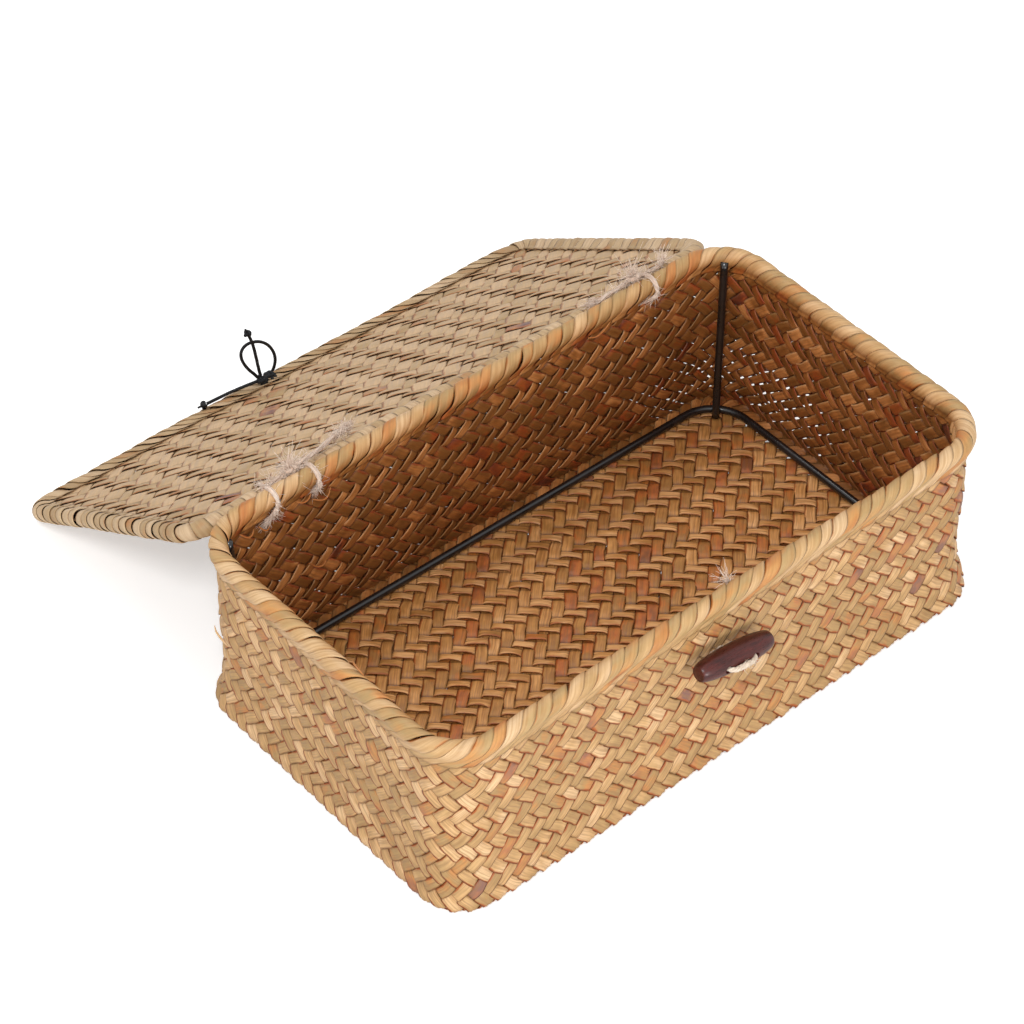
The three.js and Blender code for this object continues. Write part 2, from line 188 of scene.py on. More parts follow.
def strip_uv(tree):
    """A strand's UV map: the distance along it in centimetres, and the place across it."""
    uv = tree.nodes.new("ShaderNodeUVMap")
    uv.uv_map = "strip"
    split = tree.nodes.new("ShaderNodeSeparateXYZ")
    tree.links.new(uv.outputs[0], split.inputs[0])
    return split.outputs[0], split.outputs[1]


def new_material(name):
    """An empty material: its tree and its shader."""
    material = bpy.data.materials.new(name)
    material.use_nodes = True
    return material, material.node_tree, material.node_tree.nodes["Principled BSDF"]


def bump(tree, shader, height, strength, distance):
    """Relief on a shader from a height."""
    node = tree.nodes.new("ShaderNodeBump")
    node.inputs["Strength"].default_value = strength
    node.inputs["Distance"].default_value = distance
    tree.links.new(height, node.inputs["Height"])
    tree.links.new(node.outputs[0], shader.inputs["Normal"])


# %% [markdown]
# Fibres along a strand
#
# Leaf, twine and cord all have a direction: fine lines run along them, and slow patches vary
# the tone. A node group works both out from the piece's own UV map, where U is the distance
# along in centimetres and V goes across or around from 0 to 1. Each material picks its colours.

# %% The fibres' masks as a node group
def fibre_group():
    """Outputs: Fibres, fine lines along the strand; Blotches, slow patches; Across, 0 to 1;
    Height, for bump."""
    tree, given, out = new_group("strand_fibres", [("Lines", 7.0)],
                                 ["Fibres", "Blotches", "Across", "Height"])
    along, across = strip_uv(tree)

    def streaks(per_cm, lines, layer, *noise):
        """Noise drawn out along the strand; layer keeps two of them apart."""
        place = vector_node(tree, times(tree, along, per_cm), times(tree, across, lines), layer)
        return noise_node(tree, place, 1.0, *noise)

    fine = streaks(0.45, given.outputs["Lines"], 0.0, 3.0, 0.6)
    wide = streaks(0.6, 4.0, 5.0, 2.0)
    slow = streaks(1.1, 1.0, 9.0, 2.0)
    tree.links.new(remap(tree, fine, 0.38, 0.6), out.inputs["Fibres"])
    tree.links.new(remap(tree, slow, 0.32, 0.68), out.inputs["Blotches"])
    tree.links.new(across, out.inputs["Across"])
    height = math_node(tree, "ADD", times(tree, fine, 0.5), wide)
    tree.links.new(height, out.inputs["Height"])
    return tree


FIBRES = fibre_group()


def fibres_node(tree, lines):
    """The group placed in a material with its own number of lines."""
    node = tree.nodes.new("ShaderNodeGroup")
    node.node_tree = FIBRES
    node.inputs["Lines"].default_value = lines
    return node


# %% [markdown]
# From arrays to a mesh
#
# Every new piece is worked out as numpy arrays: points, faces and, for each point, where it
# lies along and across its strand. One helper turns them into a Blender mesh.

# %% A mesh from arrays
def make_mesh(name, points, faces, uv, values=None, material=None):
    """points is (n, 3); faces is a list of (m, k) index arrays; uv is (n, 2); values holds one
    number for each point under each attribute name."""
    mesh = bpy.data.meshes.new(name)
    corners = np.concatenate([f.ravel() for f in faces]).astype(np.int32)
    totals = np.concatenate([np.full(len(f), f.shape[1]) for f in faces]).astype(np.int32)
    mesh.vertices.add(len(points))
    mesh.vertices.foreach_set("co", np.asarray(points, np.float32).ravel())
    mesh.loops.add(len(corners))
    mesh.loops.foreach_set("vertex_index", corners)
    mesh.polygons.add(len(totals))
    mesh.polygons.foreach_set("loop_start", (np.cumsum(totals) - totals).astype(np.int32))
    mesh.polygons.foreach_set("use_smooth", np.ones(len(totals), bool))
    mesh.uv_layers.new(name="strip").data.foreach_set("uv", uv[corners].astype(np.float32).ravel())
    for key, value in (values or {}).items():
        numbers = mesh.attributes.new(key, "FLOAT", "POINT").data
        numbers.foreach_set("value", value.astype(np.float32))
    mesh.update(calc_edges=True)
    mesh.validate()
    piece = bpy.data.objects.new(name, mesh)
    bpy.context.scene.collection.objects.link(piece)
    if material:
        mesh.materials.append(material)
    return piece


def unit(vectors):
    """Each vector divided by its own length."""
    return vectors / np.linalg.norm(vectors, axis=-1, keepdims=True)


# %% [markdown]
# Tubes
#
# Wire, cord and twine are circles carried along a path. The circle is turned by the path's own
# direction and one fixed direction, which is enough for a path that never runs along it.

# %% Paths and tubes
def smooth_path(points, count):
    """A Catmull-Rom curve through points, as count points at even steps of its length."""
    points = np.asarray(points, float)
    padded = np.vstack([2 * points[0] - points[1], points, 2 * points[-1] - points[-2]])
    t = np.linspace(0, len(points) - 1 - 1e-9, 40 * len(points))
    k = t.astype(int)
    f = (t - k)[:, None]
    p0, p1, p2, p3 = (padded[k + j] for j in range(4))
    dense = 0.5 * (2 * p1 + (p2 - p0) * f + (2 * p0 - 5 * p1 + 4 * p2 - p3) * f ** 2
                   + (3 * p1 - p0 - 3 * p2 + p3) * f ** 3)
    even = np.linspace(0, path_length(dense)[-1], count)
    return np.stack([np.interp(even, path_length(dense), dense[:, j])
                     for j in range(dense.shape[1])], -1)


def path_length(path):
    """The distance along a path at each of its points."""
    return np.concatenate([[0], np.cumsum(np.linalg.norm(np.diff(path, axis=0), axis=1))])


def frames(path, fixed, closed=False):
    """The direction of a path at each point, and two directions across it."""
    ahead = (np.roll(path, -1, 0) - np.roll(path, 1, 0)) if closed else np.gradient(path, axis=0)
    tangent = unit(ahead)
    side = unit(np.cross(tangent, np.asarray(fixed, float)))
    return tangent, side, np.cross(side, tangent)


def ring_quads(number, closed=False):
    """Quads between each ring of points and the next; number is (..., ring, point)."""
    here, there = number[..., :-1, :], number[..., 1:, :]
    if closed:
        here, there = number, np.roll(number, -1, -2)
    quads = [here, there, np.roll(there, -1, -1), np.roll(here, -1, -1)]
    return np.stack(quads, -1).reshape(-1, 4)


def tube(path, radius, sides, fixed, closed=False):
    """A circle carried along a path: points, faces and UVs. radius may be one number a point."""
    _, side, over = frames(path, fixed, closed)
    angle = np.arange(sides) / sides * 2 * math.pi
    radius = np.broadcast_to(np.asarray(radius, float), (len(path),))[:, None, None]
    angle = angle[None, :, None]
    ring = np.cos(angle) * side[:, None] + np.sin(angle) * over[:, None]
    points = path[:, None] + radius * ring
    number = np.arange(len(path) * sides).reshape(len(path), sides)
    caps = [] if closed else [number[:1], number[-1:, ::-1]]
    turn = 1 - np.abs(2 * np.arange(sides)[None] / sides - 1)
    uv = np.stack(np.broadcast_arrays(path_length(path)[:, None] * 100, turn), -1)
    return points.reshape(-1, 3), [ring_quads(number, closed), *caps], uv.reshape(-1, 2)


def merged(groups):
    """Several (points, faces, uv) joined into one."""
    shift, points, faces, uvs = 0, [], [], []
    for group_points, group_faces, group_uv in groups:
        points.append(group_points)
        uvs.append(group_uv)
        faces += [f + shift for f in outward(group_points, group_faces)]
        shift += len(group_points)
    return np.concatenate(points), faces, np.concatenate(uvs)


def outward(points, faces):
    """Faces turned round where the closed shape they make is inside out."""
    volume = 0
    for f in faces:
        for k in range(1, f.shape[1] - 1):
            a, b, c = points[f[:, 0]], points[f[:, k]], points[f[:, k + 1]]
            volume += (a * np.cross(b, c)).sum()
    return faces if volume > 0 else [f[:, ::-1] for f in faces]


def strand_piece(name, groups, material, body, replaces=()):
    """One piece from several tubes, riding on a body, or on none yet."""
    piece = make_mesh(name, *merged(groups), None, material)
    if body:
        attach(piece, body)
    if replaces:
        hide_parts(*replaces)
    return piece


# %% [markdown]
# The elastic cord
#
# A thin black elastic cord closes the box: its loop goes over the toggle. It is hitched round
# the lid's free edge, tied in one knot, and its two tails end in small knots. Each free stretch
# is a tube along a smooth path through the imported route. A knot is a trefoil, the curve that a
# real overhand knot follows. A braid's rise and fall is drawn in the bump by two crossing waves.

# %% Black braided cord
YARN_WAVES = 48.0
YARN_TURNS = 12.566


def braid_material():
    """Black cord: the waves sin(a u + b v) and sin(a u - b v) are the two sets of yarns."""
    material, tree, shader = new_material("braided_elastic")
    strand = fibres_node(tree, 6.0)
    along, around = strip_uv(tree)
    along, around = times(tree, along, YARN_WAVES), times(tree, around, YARN_TURNS)
    one = math_node(tree, "SINE", math_node(tree, "ADD", along, around))
    other = math_node(tree, "SINE", math_node(tree, "SUBTRACT", along, around))
    braid = math_node(tree, "MAXIMUM", one, other)
    colour = mix_colour(tree, remap(tree, braid, -0.4, 1),
                        (0.002, 0.0022, 0.003), (0.006, 0.0065, 0.009))
    tree.links.new(colour, shader.inputs["Base Color"])
    dull = remap(tree, strand.outputs["Blotches"], 0, 1, 0.55, 0.75)
    tree.links.new(dull, shader.inputs["Roughness"])
    shader.inputs["Specular IOR Level"].default_value = 0.3
    bump(tree, shader, braid, 0.4, 0.0001)
    return material


ELASTIC = braid_material()
ELASTIC_RADIUS = 0.0009
KNOT_MIDDLE = joints["loop_swing"] + (0, -0.001718, 0.006889)


def route(millimetres, count):
    """A smooth path through route points that are given in millimetres from the knot."""
    return smooth_path(KNOT_MIDDLE + np.array(millimetres) / 1000, count)


def trefoil(centre, size, lean=(0, 0, 1)):
    """A closed overhand knot, (sin t + 2 sin 2t, cos t - 2 cos 2t, -1.3 sin 3t) times its size,
    lying across the direction lean."""
    t = np.arange(48) / 48 * 2 * math.pi
    flat = np.stack([np.sin(t) + 2 * np.sin(2 * t), np.cos(t) - 2 * np.cos(2 * t),
                     -1.3 * np.sin(3 * t)], -1)
    normal = unit(np.array(lean, float))
    side = unit(np.cross(normal, (0.31, 0.87, 0.4)))
    return np.array(centre) + size * flat @ np.stack([side, np.cross(normal, side), normal])


# %% The loop and its tails
loop_path = route([
    (-2.1, 0.6, 2.5), (-4.1, 1, 5.9), (-6.1, 1.5, 8.9), (-8, 2, 12.4), (-9.5, 2.5, 16.1),
    (-10.2, 3, 19.8), (-9.6, 3.5, 22.8), (-7.5, 3.9, 24.8), (-4.3, 4.3, 25.2), (-0.3, 4.7, 24),
    (3.9, 5, 21.6), (7.9, 5.4, 17.7), (11.1, 5.8, 12.8), (13.3, 6.2, 7.3), (14.2, 6.7, 2),
    (13.8, 7.3, -2.6), (12.9, 7.9, -5.9), (11.4, 8.4, -8.2), (9.6, 8.8, -9.6), (8, 9, -10.1)], 90)
tail_up_path = route([
    (-0.2, 0.5, 3), (-0.6, 0.5, 4.7), (-0.9, 0.6, 6.5), (-1.1, 0.7, 8.7), (-1.4, 0.9, 11.2),
    (-1.6, 1, 13.7), (-1.9, 1.1, 16.2), (-2.2, 1.2, 18.7), (-2.4, 1.4, 21.2), (-2.8, 1.5, 23.7),
    (-3.2, 1.6, 26.3), (-3.8, 1.7, 28.7), (-4.4, 1.9, 31), (-5.1, 2, 33.1)], 50)
tail_side_path = route([
    (-2.8, 0.2, 0.5), (-5, 0.6, 0.4), (-7.1, 1, 0.4), (-9.3, 1.4, 0.3), (-11.5, 1.7, 0.3),
    (-13.6, 2.1, 0.2), (-15.8, 2.5, 0), (-18, 2.9, -0.1), (-20.1, 3.3, -0.3), (-22.3, 3.7, -0.6),
    (-24.5, 4, -0.8), (-26.7, 4.4, -1.1), (-28.8, 4.8, -1.4), (-31, 5.2, -1.7),
    (-32.7, 5.6, -2)], 50)


def elastic_piece(name, groups, node):
    """A piece of the elastic cord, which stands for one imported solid."""
    return strand_piece(name, groups, ELASTIC, "loop", [node])


def tail_knot(name, path, node):
    """The small knot that ends a tail, with a short frayed tip past it."""
    ahead = unit(path[-1] - path[-3])
    middle = path[-1] + ahead * 0.0018
    tip = middle + ahead * np.linspace(0, 0.0036, 6)[:, None]
    stub = tube(tip, np.linspace(0.0008, 0.0005, 6), 10, (0.2, 1, 0.1))
    knot = tube(trefoil(middle, 0.0005, ahead), 0.0010, 10, (0.3, 0.2, 1), True)
    return elastic_piece(name, [knot, stub], node)


def free_cord(name, path, node):
    """A free stretch of the elastic."""
    piece = elastic_piece(name, [tube(path, ELASTIC_RADIUS, 12, (0, 1, 0.02))], node)


up_knot = tail_knot("tail_up_knot", tail_up_path, "tail_knot_up")
side_knot = tail_knot("tail_side_knot", tail_side_path, "tail_knot_side")
free_cord("elastic_loop_cord", loop_path, "elastic_loop")
free_cord("elastic_tail_up", tail_up_path, "loop_tail_up")
free_cord("elastic_tail_side", tail_side_path, "loop_tail_side")

# %% The hitch round the lid's edge
LID_BEAD_RADIUS = 0.0042
HITCH_RADIUS = LID_BEAD_RADIUS + 0.0003 + ELASTIC_RADIUS
HITCH_X = -0.012
HITCH_START = 1.8
turns = np.linspace(0, 4 * math.pi, 96)
hitch_path = np.stack([HITCH_X + 0.0011 * np.cos(turns / 2),
                       joints["loop_swing"][1] + HITCH_RADIUS * np.cos(turns + HITCH_START),
                       joints["loop_swing"][2] + HITCH_RADIUS * np.sin(turns + HITCH_START)], -1)
half_way = (hitch_path[0] + KNOT_MIDDLE) / 2 + (0, 0, 0.0006)
join_path = smooth_path([hitch_path[0], half_way, KNOT_MIDDLE], 20)
big_knot = trefoil(KNOT_MIDDLE, 0.00078, (0.4, -0.3, 1))
elastic_piece("elastic_hitch_and_knot", [
    tube(hitch_path, ELASTIC_RADIUS, 12, (1, 0, 0)),
    tube(join_path, ELASTIC_RADIUS, 12, (0, 0, 1)),
    tube(big_knot, 0.00125, 12, (0.3, 0.2, 1), True)], "loop_knot")

# %% [markdown]
# Sizes
#
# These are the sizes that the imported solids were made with, in metres. The strips are laid
# out from them, so a change of the box carries through to the weave.

# %% Sizes of the box, the lid and the weave
RIM_HALF_LENGTH, RIM_HALF_WIDTH, RIM_RADIUS = 0.170, 0.095, 0.025
BASE_FLARE_LENGTH, BASE_FLARE_WIDTH, BASE_RADIUS = 0.0009, 0.002, 0.0209
RIM_HEIGHT, WALL_TOP = 0.1055, 0.1031
WEAVE_THICKNESS, FOLD_RADIUS = 0.003, 0.0018
WIRE_RADIUS = 0.0021
LID_HALF_LENGTH, LID_DEPTH, LID_SHIFT, LID_RADIUS = 0.166, 0.176, -0.0015, 0.014

lid_hinge, lid_free = joints["lid_turn"], joints["loop_swing"]
lid_down = unit((lid_free - lid_hinge) * (0, 1, 1))
lid_out = np.array([0, -lid_down[2], lid_down[1]])
print("lid slopes down by", round(math.degrees(math.asin(-lid_down[2])), 2), "degrees")

# %% [markdown]
# Closed ribbons
#
# A strip of leaf is a thin closed band. Its section is a flat lens of eight points, carried
# along many steps. All strips of a family are one array: strip, step, section point.

# %% Bands from a grid
SECTION_ACROSS = np.array([-1, -0.66, 0, 0.66, 1, 0.66, 0, -0.66])
SECTION_RISE = np.array([0, 0.9, 1, 0.9, 0, -0.9, -1, -0.9])


def band_faces(kept):
    """Faces of closed bands on a (strip, step, section) grid. kept is a (strip, step) mask of
    the steps that exist, which are in one run for each strip. Ends are closed by caps."""
    strips, steps = kept.shape
    sides = len(SECTION_ACROSS)
    number = np.arange(strips * steps * sides).reshape(strips, steps, sides)
    here, there = number[:, :-1], number[:, 1:]
    quads = np.stack([here, np.roll(here, -1, 2), np.roll(there, -1, 2), there], -1)
    quads = quads[kept[:, :-1] & kept[:, 1:]].reshape(-1, 4)
    first = kept.argmax(1)
    last = steps - 1 - kept[:, ::-1].argmax(1)
    rows = np.arange(strips)
    caps = np.concatenate([number[rows, first][:, ::-1], number[rows, last]])
    return quads, caps


def band_piece(name, points, kept, along, values, material):
    """A mesh of bands. points is (strip, step, section, 3), along the distance in centimetres."""
    quads, caps = band_faces(kept)
    used, flat = np.unique(np.concatenate([quads.ravel(), caps.ravel()]), return_inverse=True)
    quads, caps = flat[:quads.size].reshape(-1, 4), flat[quads.size:].reshape(-1, 8)
    grid = points.shape[:3]
    across = np.broadcast_to(SECTION_ACROSS / 2 + 0.5, grid)
    uv = np.stack([np.broadcast_to(along[..., None], grid), across], -1).reshape(-1, 2)[used]
    flat_points = points.reshape(-1, 3)[used]
    flat_values = {k: np.broadcast_to(v if v.ndim == 3 else v[..., None], grid).ravel()[used]
                   for k, v in values.items()}
    return make_mesh(name, flat_points, outward(flat_points, [quads, caps]), uv, flat_values,
                     material)


# %% [markdown]
# Plaiting
#
# The walls and the floor are a two-over-two-under twill whose strips run at 45 degrees. One
# family of strips leans left and the other leans right. A strip's height above the middle of
# the sheet follows a flattened cosine: up over two crossing strips, down under the next two.
# The start of that cosine moves by one crossing from each strip to the next, which draws the
# rows of the twill. On the lid the start moves the other way, so its rows run front to back.
#
# No leaf is as even as a ribbon. Each strip has its own run of random numbers, one for each
# crossing, blended smoothly from one to the next. They change its width, its place, its height
# and its tone on the way, and now and then a single stretch comes out much darker.

# %% The twill as a formula
STEP_SHARES = np.array([0, 0.1, 0.3, 0.5, 0.7, 0.9])
FLATNESS = 3.0
LEAF_SHIFT = 17.3
ORANGE_STRIP, ORANGE_FLOAT = 0.34, 0.42


def twill_rise(index, crossing, family, in_rows):
    """The height of strip index at a crossing position, from -1 to 1: tanh(k cos(pi/2 (b - m)))
    over tanh(k), where m is the middle of the stretch in which the strip is on top."""
    middle = {(1, True): index, (-1, True): index + 3,
              (1, False): 1 - index, (-1, False): 3 - index}[family, in_rows]
    wave = np.cos(np.pi / 2 * (crossing - middle))
    return np.tanh(FLATNESS * wave) / np.tanh(FLATNESS), wave, middle


def wobble(x, y, seed):
    """A slow unevenness between -1 and 1: the mean of five sines with mixed directions."""
    angles = np.arange(5) * 2.4 + seed
    return sum(np.sin(x * np.cos(a) * (1 + 0.4 * k) + y * np.sin(a) * (1 + 0.4 * k) + 1.7 * a)
               for k, a in enumerate(angles)) / 5


def run_of(random, count, position):
    """Smooth random numbers from -1 to 1 along each of count strips: a table with one number for
    each whole position, blended by 3f^2 - 2f^3 in between."""
    first = math.floor(position.min())
    table = random.uniform(-1, 1, (count, math.ceil(position.max()) - first + 2))
    cell = np.floor(position).astype(int) - first
    f = np.broadcast_to(position - np.floor(position), (count, position.shape[-1]))
    rows = np.arange(count)[:, None]
    cell = np.broadcast_to(cell, f.shape)
    blend = f * f * (3 - 2 * f)
    return table[rows, cell] * (1 - blend) + table[rows, cell + 1] * blend


def slanted(c, s, family):
    """The sheet's (u, v) at distance s along a strip whose middle line is at c: u is
    (c + s) / sqrt 2, v is family (c - s) / sqrt 2."""
    return (c + s) / math.sqrt(2), family * (c - s) / math.sqrt(2)


def plait(name, family, seed, place, inside, pitch, indices, crossings, in_rows, look, material,
          parts):
    """Plaited strips of one family, 1 or -1, on the sheet that place(u, v, n) describes.
    inside(u, v) says where the sheet is. A strip's middle line is at c = (index + 1/2) pitch."""
    random = np.random.default_rng(seed)
    count = len(indices)
    index = indices[:, None]
    position = (crossings[:, None] + STEP_SHARES).ravel()[None, :]
    fine = np.linspace(crossings[0], crossings[-1], 12 * len(crossings))[None, :] * pitch
    middle_line = (index + 0.5) * pitch
    held = inside(*slanted(middle_line, fine, family))
    start = fine[0, held.argmax(1)][:, None]
    end = fine[0, held.shape[1] - 1 - held[:, ::-1].argmax(1)][:, None]
    s = np.clip(position * pitch, start, end)
    gap = np.diff(s, axis=1) > 1e-6
    kept = np.zeros(s.shape, bool)
    kept[:, :-1] |= gap
    kept[:, 1:] |= gap
    alternate = look["alternate"]
    crossing = s / pitch + alternate / 2 * np.cos(math.pi * s / pitch)
    rise, wave, middle = twill_rise(index, crossing, family, in_rows)
    strip_tone = np.where(random.random((count, 1)) < look["bright"], ORANGE_STRIP,
                          look["strip"][family] * random.uniform(-1, 1, (count, 1)))
    tone = look["tone"][family] + strip_tone + 0.14 * run_of(random, count, position * 0.5)
    floats = np.floor((crossing - middle + 1) / 2).astype(int)
    accents = random.random((count, 4 * len(crossings) + 8))
    accent = accents[np.arange(count)[:, None], floats - floats.min()]
    tone = tone + np.where(accent < look["accents"], ORANGE_FLOAT, 0)
    tone = tone + look["float"] * (accent - 0.5)
    c = middle_line + pitch * (look["sway"] * run_of(random, count, position)
                               + 0.03 * run_of(random, count, position * 0.27))
    width = look["width"][family] * (1 + alternate * np.where(index % 2 == 0, 1, -1))
    half = width * pitch / 2 * (1 + look["spread"] * run_of(random, count, position)
                                - look["pinch"][family] * rise
                                + 0.05 * random.uniform(-1, 1, (count, 1)))
    u, v = slanted(c, s, family)
    half = half * (1 - look["thin"](u, v))
    uneven = run_of(random, count, position * 0.5)
    height = look["amplitude"] * (rise * (1 + 0.22 * uneven) + 0.16 * wave * np.abs(rise))
    tilt = -family * look["tilt"][family] * (1 + 0.6 * run_of(random, count, position * 0.5))
    offset = SECTION_ACROSS * half[..., None] / math.sqrt(2)
    curl = look["curl"] * SECTION_ACROSS ** 2 * np.where(rise > 0, -1, 1)[..., None]
    n = height[..., None] + SECTION_RISE * look["thickness"] / 2 + curl
    n = n + tilt[..., None] * SECTION_ACROSS
    points = place(u[..., None] + offset, v[..., None] + family * offset, n)
    # The faces that get painted shade and warm bounce light inside the box.
    facing = (look["inner"] * SECTION_RISE + 1) / 2 if look["inner"] else np.zeros(8)
    values = {"tone": tone, "crossing": np.abs(rise), "inner": facing[None, None]}
    real = held.any(1)
    s, points, kept = s[real], points[real], kept[real]
    along = s * 100 + LEAF_SHIFT * np.arange(len(s))[:, None]
    values = {k: x[real] if len(x) > 1 else x for k, x in values.items()}
    pieces = []
    for part, chosen in enumerate(np.array_split(np.arange(len(s)), parts)):
        label = name if parts == 1 else f"{name}_{part + 1}"
        chosen_values = {k: x[chosen] if len(x) > 1 else x for k, x in values.items()}
        pieces.append(band_piece(label, points[chosen], kept[chosen], along[chosen], chosen_values,
                                 material))
    print(name, sum(len(p.data.polygons) for p in pieces), "faces in", parts)
    return pieces


def both_families(label, seed, *sheet, parts=1):
    """The strips that lean left and then those that lean right; sheet is what plait asks for."""
    return [piece for family, lean in ((1, "left"), (-1, "right"))
            for piece in plait(f"{label}_strips_leaning_{lean}", family, seed + family, *sheet,
                               parts)]


# %% [markdown]
# Dried grass
#
# A dried leaf has long fine fibres, blotches where it dried unevenly and a darker, redder cut
# edge, with painted shade added along one long side. Painted shade also darkens the stretch
# where it dives under the next strip, and inside the box the colour is multiplied by painted
# shade and warm bounce light. A second node group works these out as masks, and each material
# then picks its own colours.

# %% The leaf's masks as a node group
# The first share is how much more of the edge colour and its painted shade one long edge gets than
# the other; the second makes the edge ragged.
SHADED_SIDE, RAGGED = 0.18, 0.22


def leaf_group():
    """Outputs: Edge, the cut edge with painted shade, full along one long edge and less along the
    other, where the blotches reach them; and the painted shade on the stretch that dives."""
    inputs = [("Across", 0.0), ("Blotches", 0.0), ("Crossing", 0.0)]
    tree, given, out = new_group("leaf_masks", inputs, ["Edge", "DiveShade"])
    middle = math_node(tree, "SUBTRACT", given.outputs["Across"], 0.5)
    from_middle = math_node(tree, "ADD", math_node(tree, "ABSOLUTE", middle),
                            times(tree, middle, -SHADED_SIDE))
    ragged = math_node(tree, "ADD", from_middle, times(tree, given.outputs["Blotches"], RAGGED))
    tree.links.new(remap(tree, ragged, 0.50, 0.60), out.inputs["Edge"])
    # Painted shade on the stretch where a strip dives from over to under.
    tree.links.new(remap(tree, given.outputs["Crossing"], 0.6, 0.0), out.inputs["DiveShade"])
    return tree


LEAF = leaf_group()


def ramp_node(tree, value, stops):
    """A colour picked by a value from (position, colour) pairs."""
    node = tree.nodes.new("ShaderNodeValToRGB")
    points = node.color_ramp.elements
    while len(points) < len(stops):
        points.new(0.5)
    for point, (position, colour) in zip(points, stops):
        point.position = position
        point.color = (*colour, 1)
    tree.links.new(value, node.inputs[0])
    return node.outputs[0]


def leaf_material(name, stops, edge, fold, inner, dark, groove, edges):
    """A dried grass strip. stops are (tone, colour) pairs, from the palest to the darkest leaf;
    edge is the colour of the redder cut edge with painted shade along it, and fold the colour of
    the painted shade on the stretch that dives; inner gives, by tone, the painted shade and warm
    bounce light that the colour is multiplied by inside the box; dark is the colour of the grooves
    between fibres, and groove and edges are the shares of the groove's and the edge's colours."""
    material, tree, shader = new_material(name)
    tone = attribute_node(tree, "tone")
    strand = fibres_node(tree, 7.0)
    leaf = tree.nodes.new("ShaderNodeGroup")
    leaf.node_tree = LEAF
    tree.links.new(strand.outputs["Across"], leaf.inputs["Across"])
    tree.links.new(strand.outputs["Blotches"], leaf.inputs["Blotches"])
    tree.links.new(attribute_node(tree, "crossing"), leaf.inputs["Crossing"])
    shifted = math_node(tree, "ADD", tone,
                        remap(tree, strand.outputs["Blotches"], 0, 1, -0.14, 0.14))
    grooved = mix_colour(tree, remap(tree, strand.outputs["Fibres"], 0, 1, groove, 0.0),
                         ramp_node(tree, shifted, stops), dark)
    # The redder cut edge, with painted shade along one long side.
    edged = mix_colour(tree, remap(tree, leaf.outputs["Edge"], 0, 1, 0.0, edges), grooved, edge)
    # The stretch that dives gets painted shade.
    dive_shaded = mix_colour(tree, remap(tree, leaf.outputs["DiveShade"], 0, 1, 0.0, 0.6), edged, fold)
    # Inside the box the colour is multiplied by painted shade and warm bounce light, picked by
    # tone.
    colour = mix_colour(tree, attribute_node(tree, "inner"), dive_shaded,
                        mix_colour(tree, 1.0, dive_shaded, ramp_node(tree, shifted, inner), "MULTIPLY"))
    tree.links.new(colour, shader.inputs["Base Color"])
    dull = remap(tree, strand.outputs["Fibres"], 0, 1, 0.45, 0.65)
    tree.links.new(dull, shader.inputs["Roughness"])
    bump(tree, shader, strand.outputs["Height"], 0.5, 0.0004)
    return material


# %% The five grass finishes
# The first colour is the redder cut edge with painted shade along it, the last painted shade where
# a strip dives.
RED_EDGE_AND_SHADE, GROOVE, DIVE_SHADE = (0.40, 0.10, 0.016), (0.30, 0.145, 0.05), (0.07, 0.022, 0.006)
STRAW = [(0.0, (0.80, 0.53, 0.28)), (0.2, (0.68, 0.413, 0.18)), (0.4, (0.54, 0.33, 0.135)),
         (0.56, (0.44, 0.274, 0.108)), (0.70, (0.58, 0.26, 0.077)), (0.84, (0.48, 0.178, 0.072)),
         (1.0, (0.24, 0.115, 0.09))]
# Painted shade and warm bounce light on the faces inside the box, multiplied in by tone.
INSIDE_SHADE = [(0.0, (0.80, 0.49, 0.26)), (0.2, (0.58, 0.33, 0.145)), (0.4, (0.43, 0.25, 0.09)),
          (0.56, (0.56, 0.33, 0.13)), (0.72, (0.66, 0.30, 0.13)), (0.9, (0.40, 0.19, 0.11))]
# Painted warm bounce light and shade on the floor's upper face, multiplied in by tone.
FLOOR_BOUNCE_SHADE = [(0.0, (1.02, 0.82, 0.60)), (0.4, (0.96, 0.72, 0.44)), (0.6, (0.84, 0.62, 0.38)),
              (0.8, (1.0, 0.72, 0.42)), (1.0, (0.8, 0.55, 0.25))]
# Painted shade for a lid's inner face; no strip of the lid or its border is given any of it.
LID_BACK_SHADE = [(0.0, (0.9, 0.8, 0.65)), (1.0, (0.9, 0.8, 0.65))]
WALL_LEAF = leaf_material("wall_leaf", STRAW, RED_EDGE_AND_SHADE, DIVE_SHADE, INSIDE_SHADE, GROOVE, 0.6, 0.95)
FLOOR_LEAF = leaf_material("floor_leaf", STRAW, RED_EDGE_AND_SHADE, DIVE_SHADE, FLOOR_BOUNCE_SHADE, GROOVE, 0.75, 0.7)
RIM_LEAF = leaf_material(
    "rim_leaf",
    [(0.0, (0.76, 0.52, 0.29)), (0.3, (0.62, 0.385, 0.17)), (0.5, (0.47, 0.315, 0.135)),
     (0.68, (0.64, 0.31, 0.10)), (0.85, (0.52, 0.19, 0.05)), (1.0, (0.30, 0.11, 0.04))],
    # The rim's cut edge with painted shade along it, and painted shade where a wrap goes into the
    # weave.
    (0.50, 0.14, 0.018), (0.24, 0.08, 0.016),
    # The rim's painted shade and warm bounce light inside the box, by tone.
    [(0.0, (0.86, 0.60, 0.36)), (0.5, (0.66, 0.42, 0.22)), (0.8, (0.8, 0.45, 0.3))],
    (0.38, 0.18, 0.05), 0.5, 0.85)
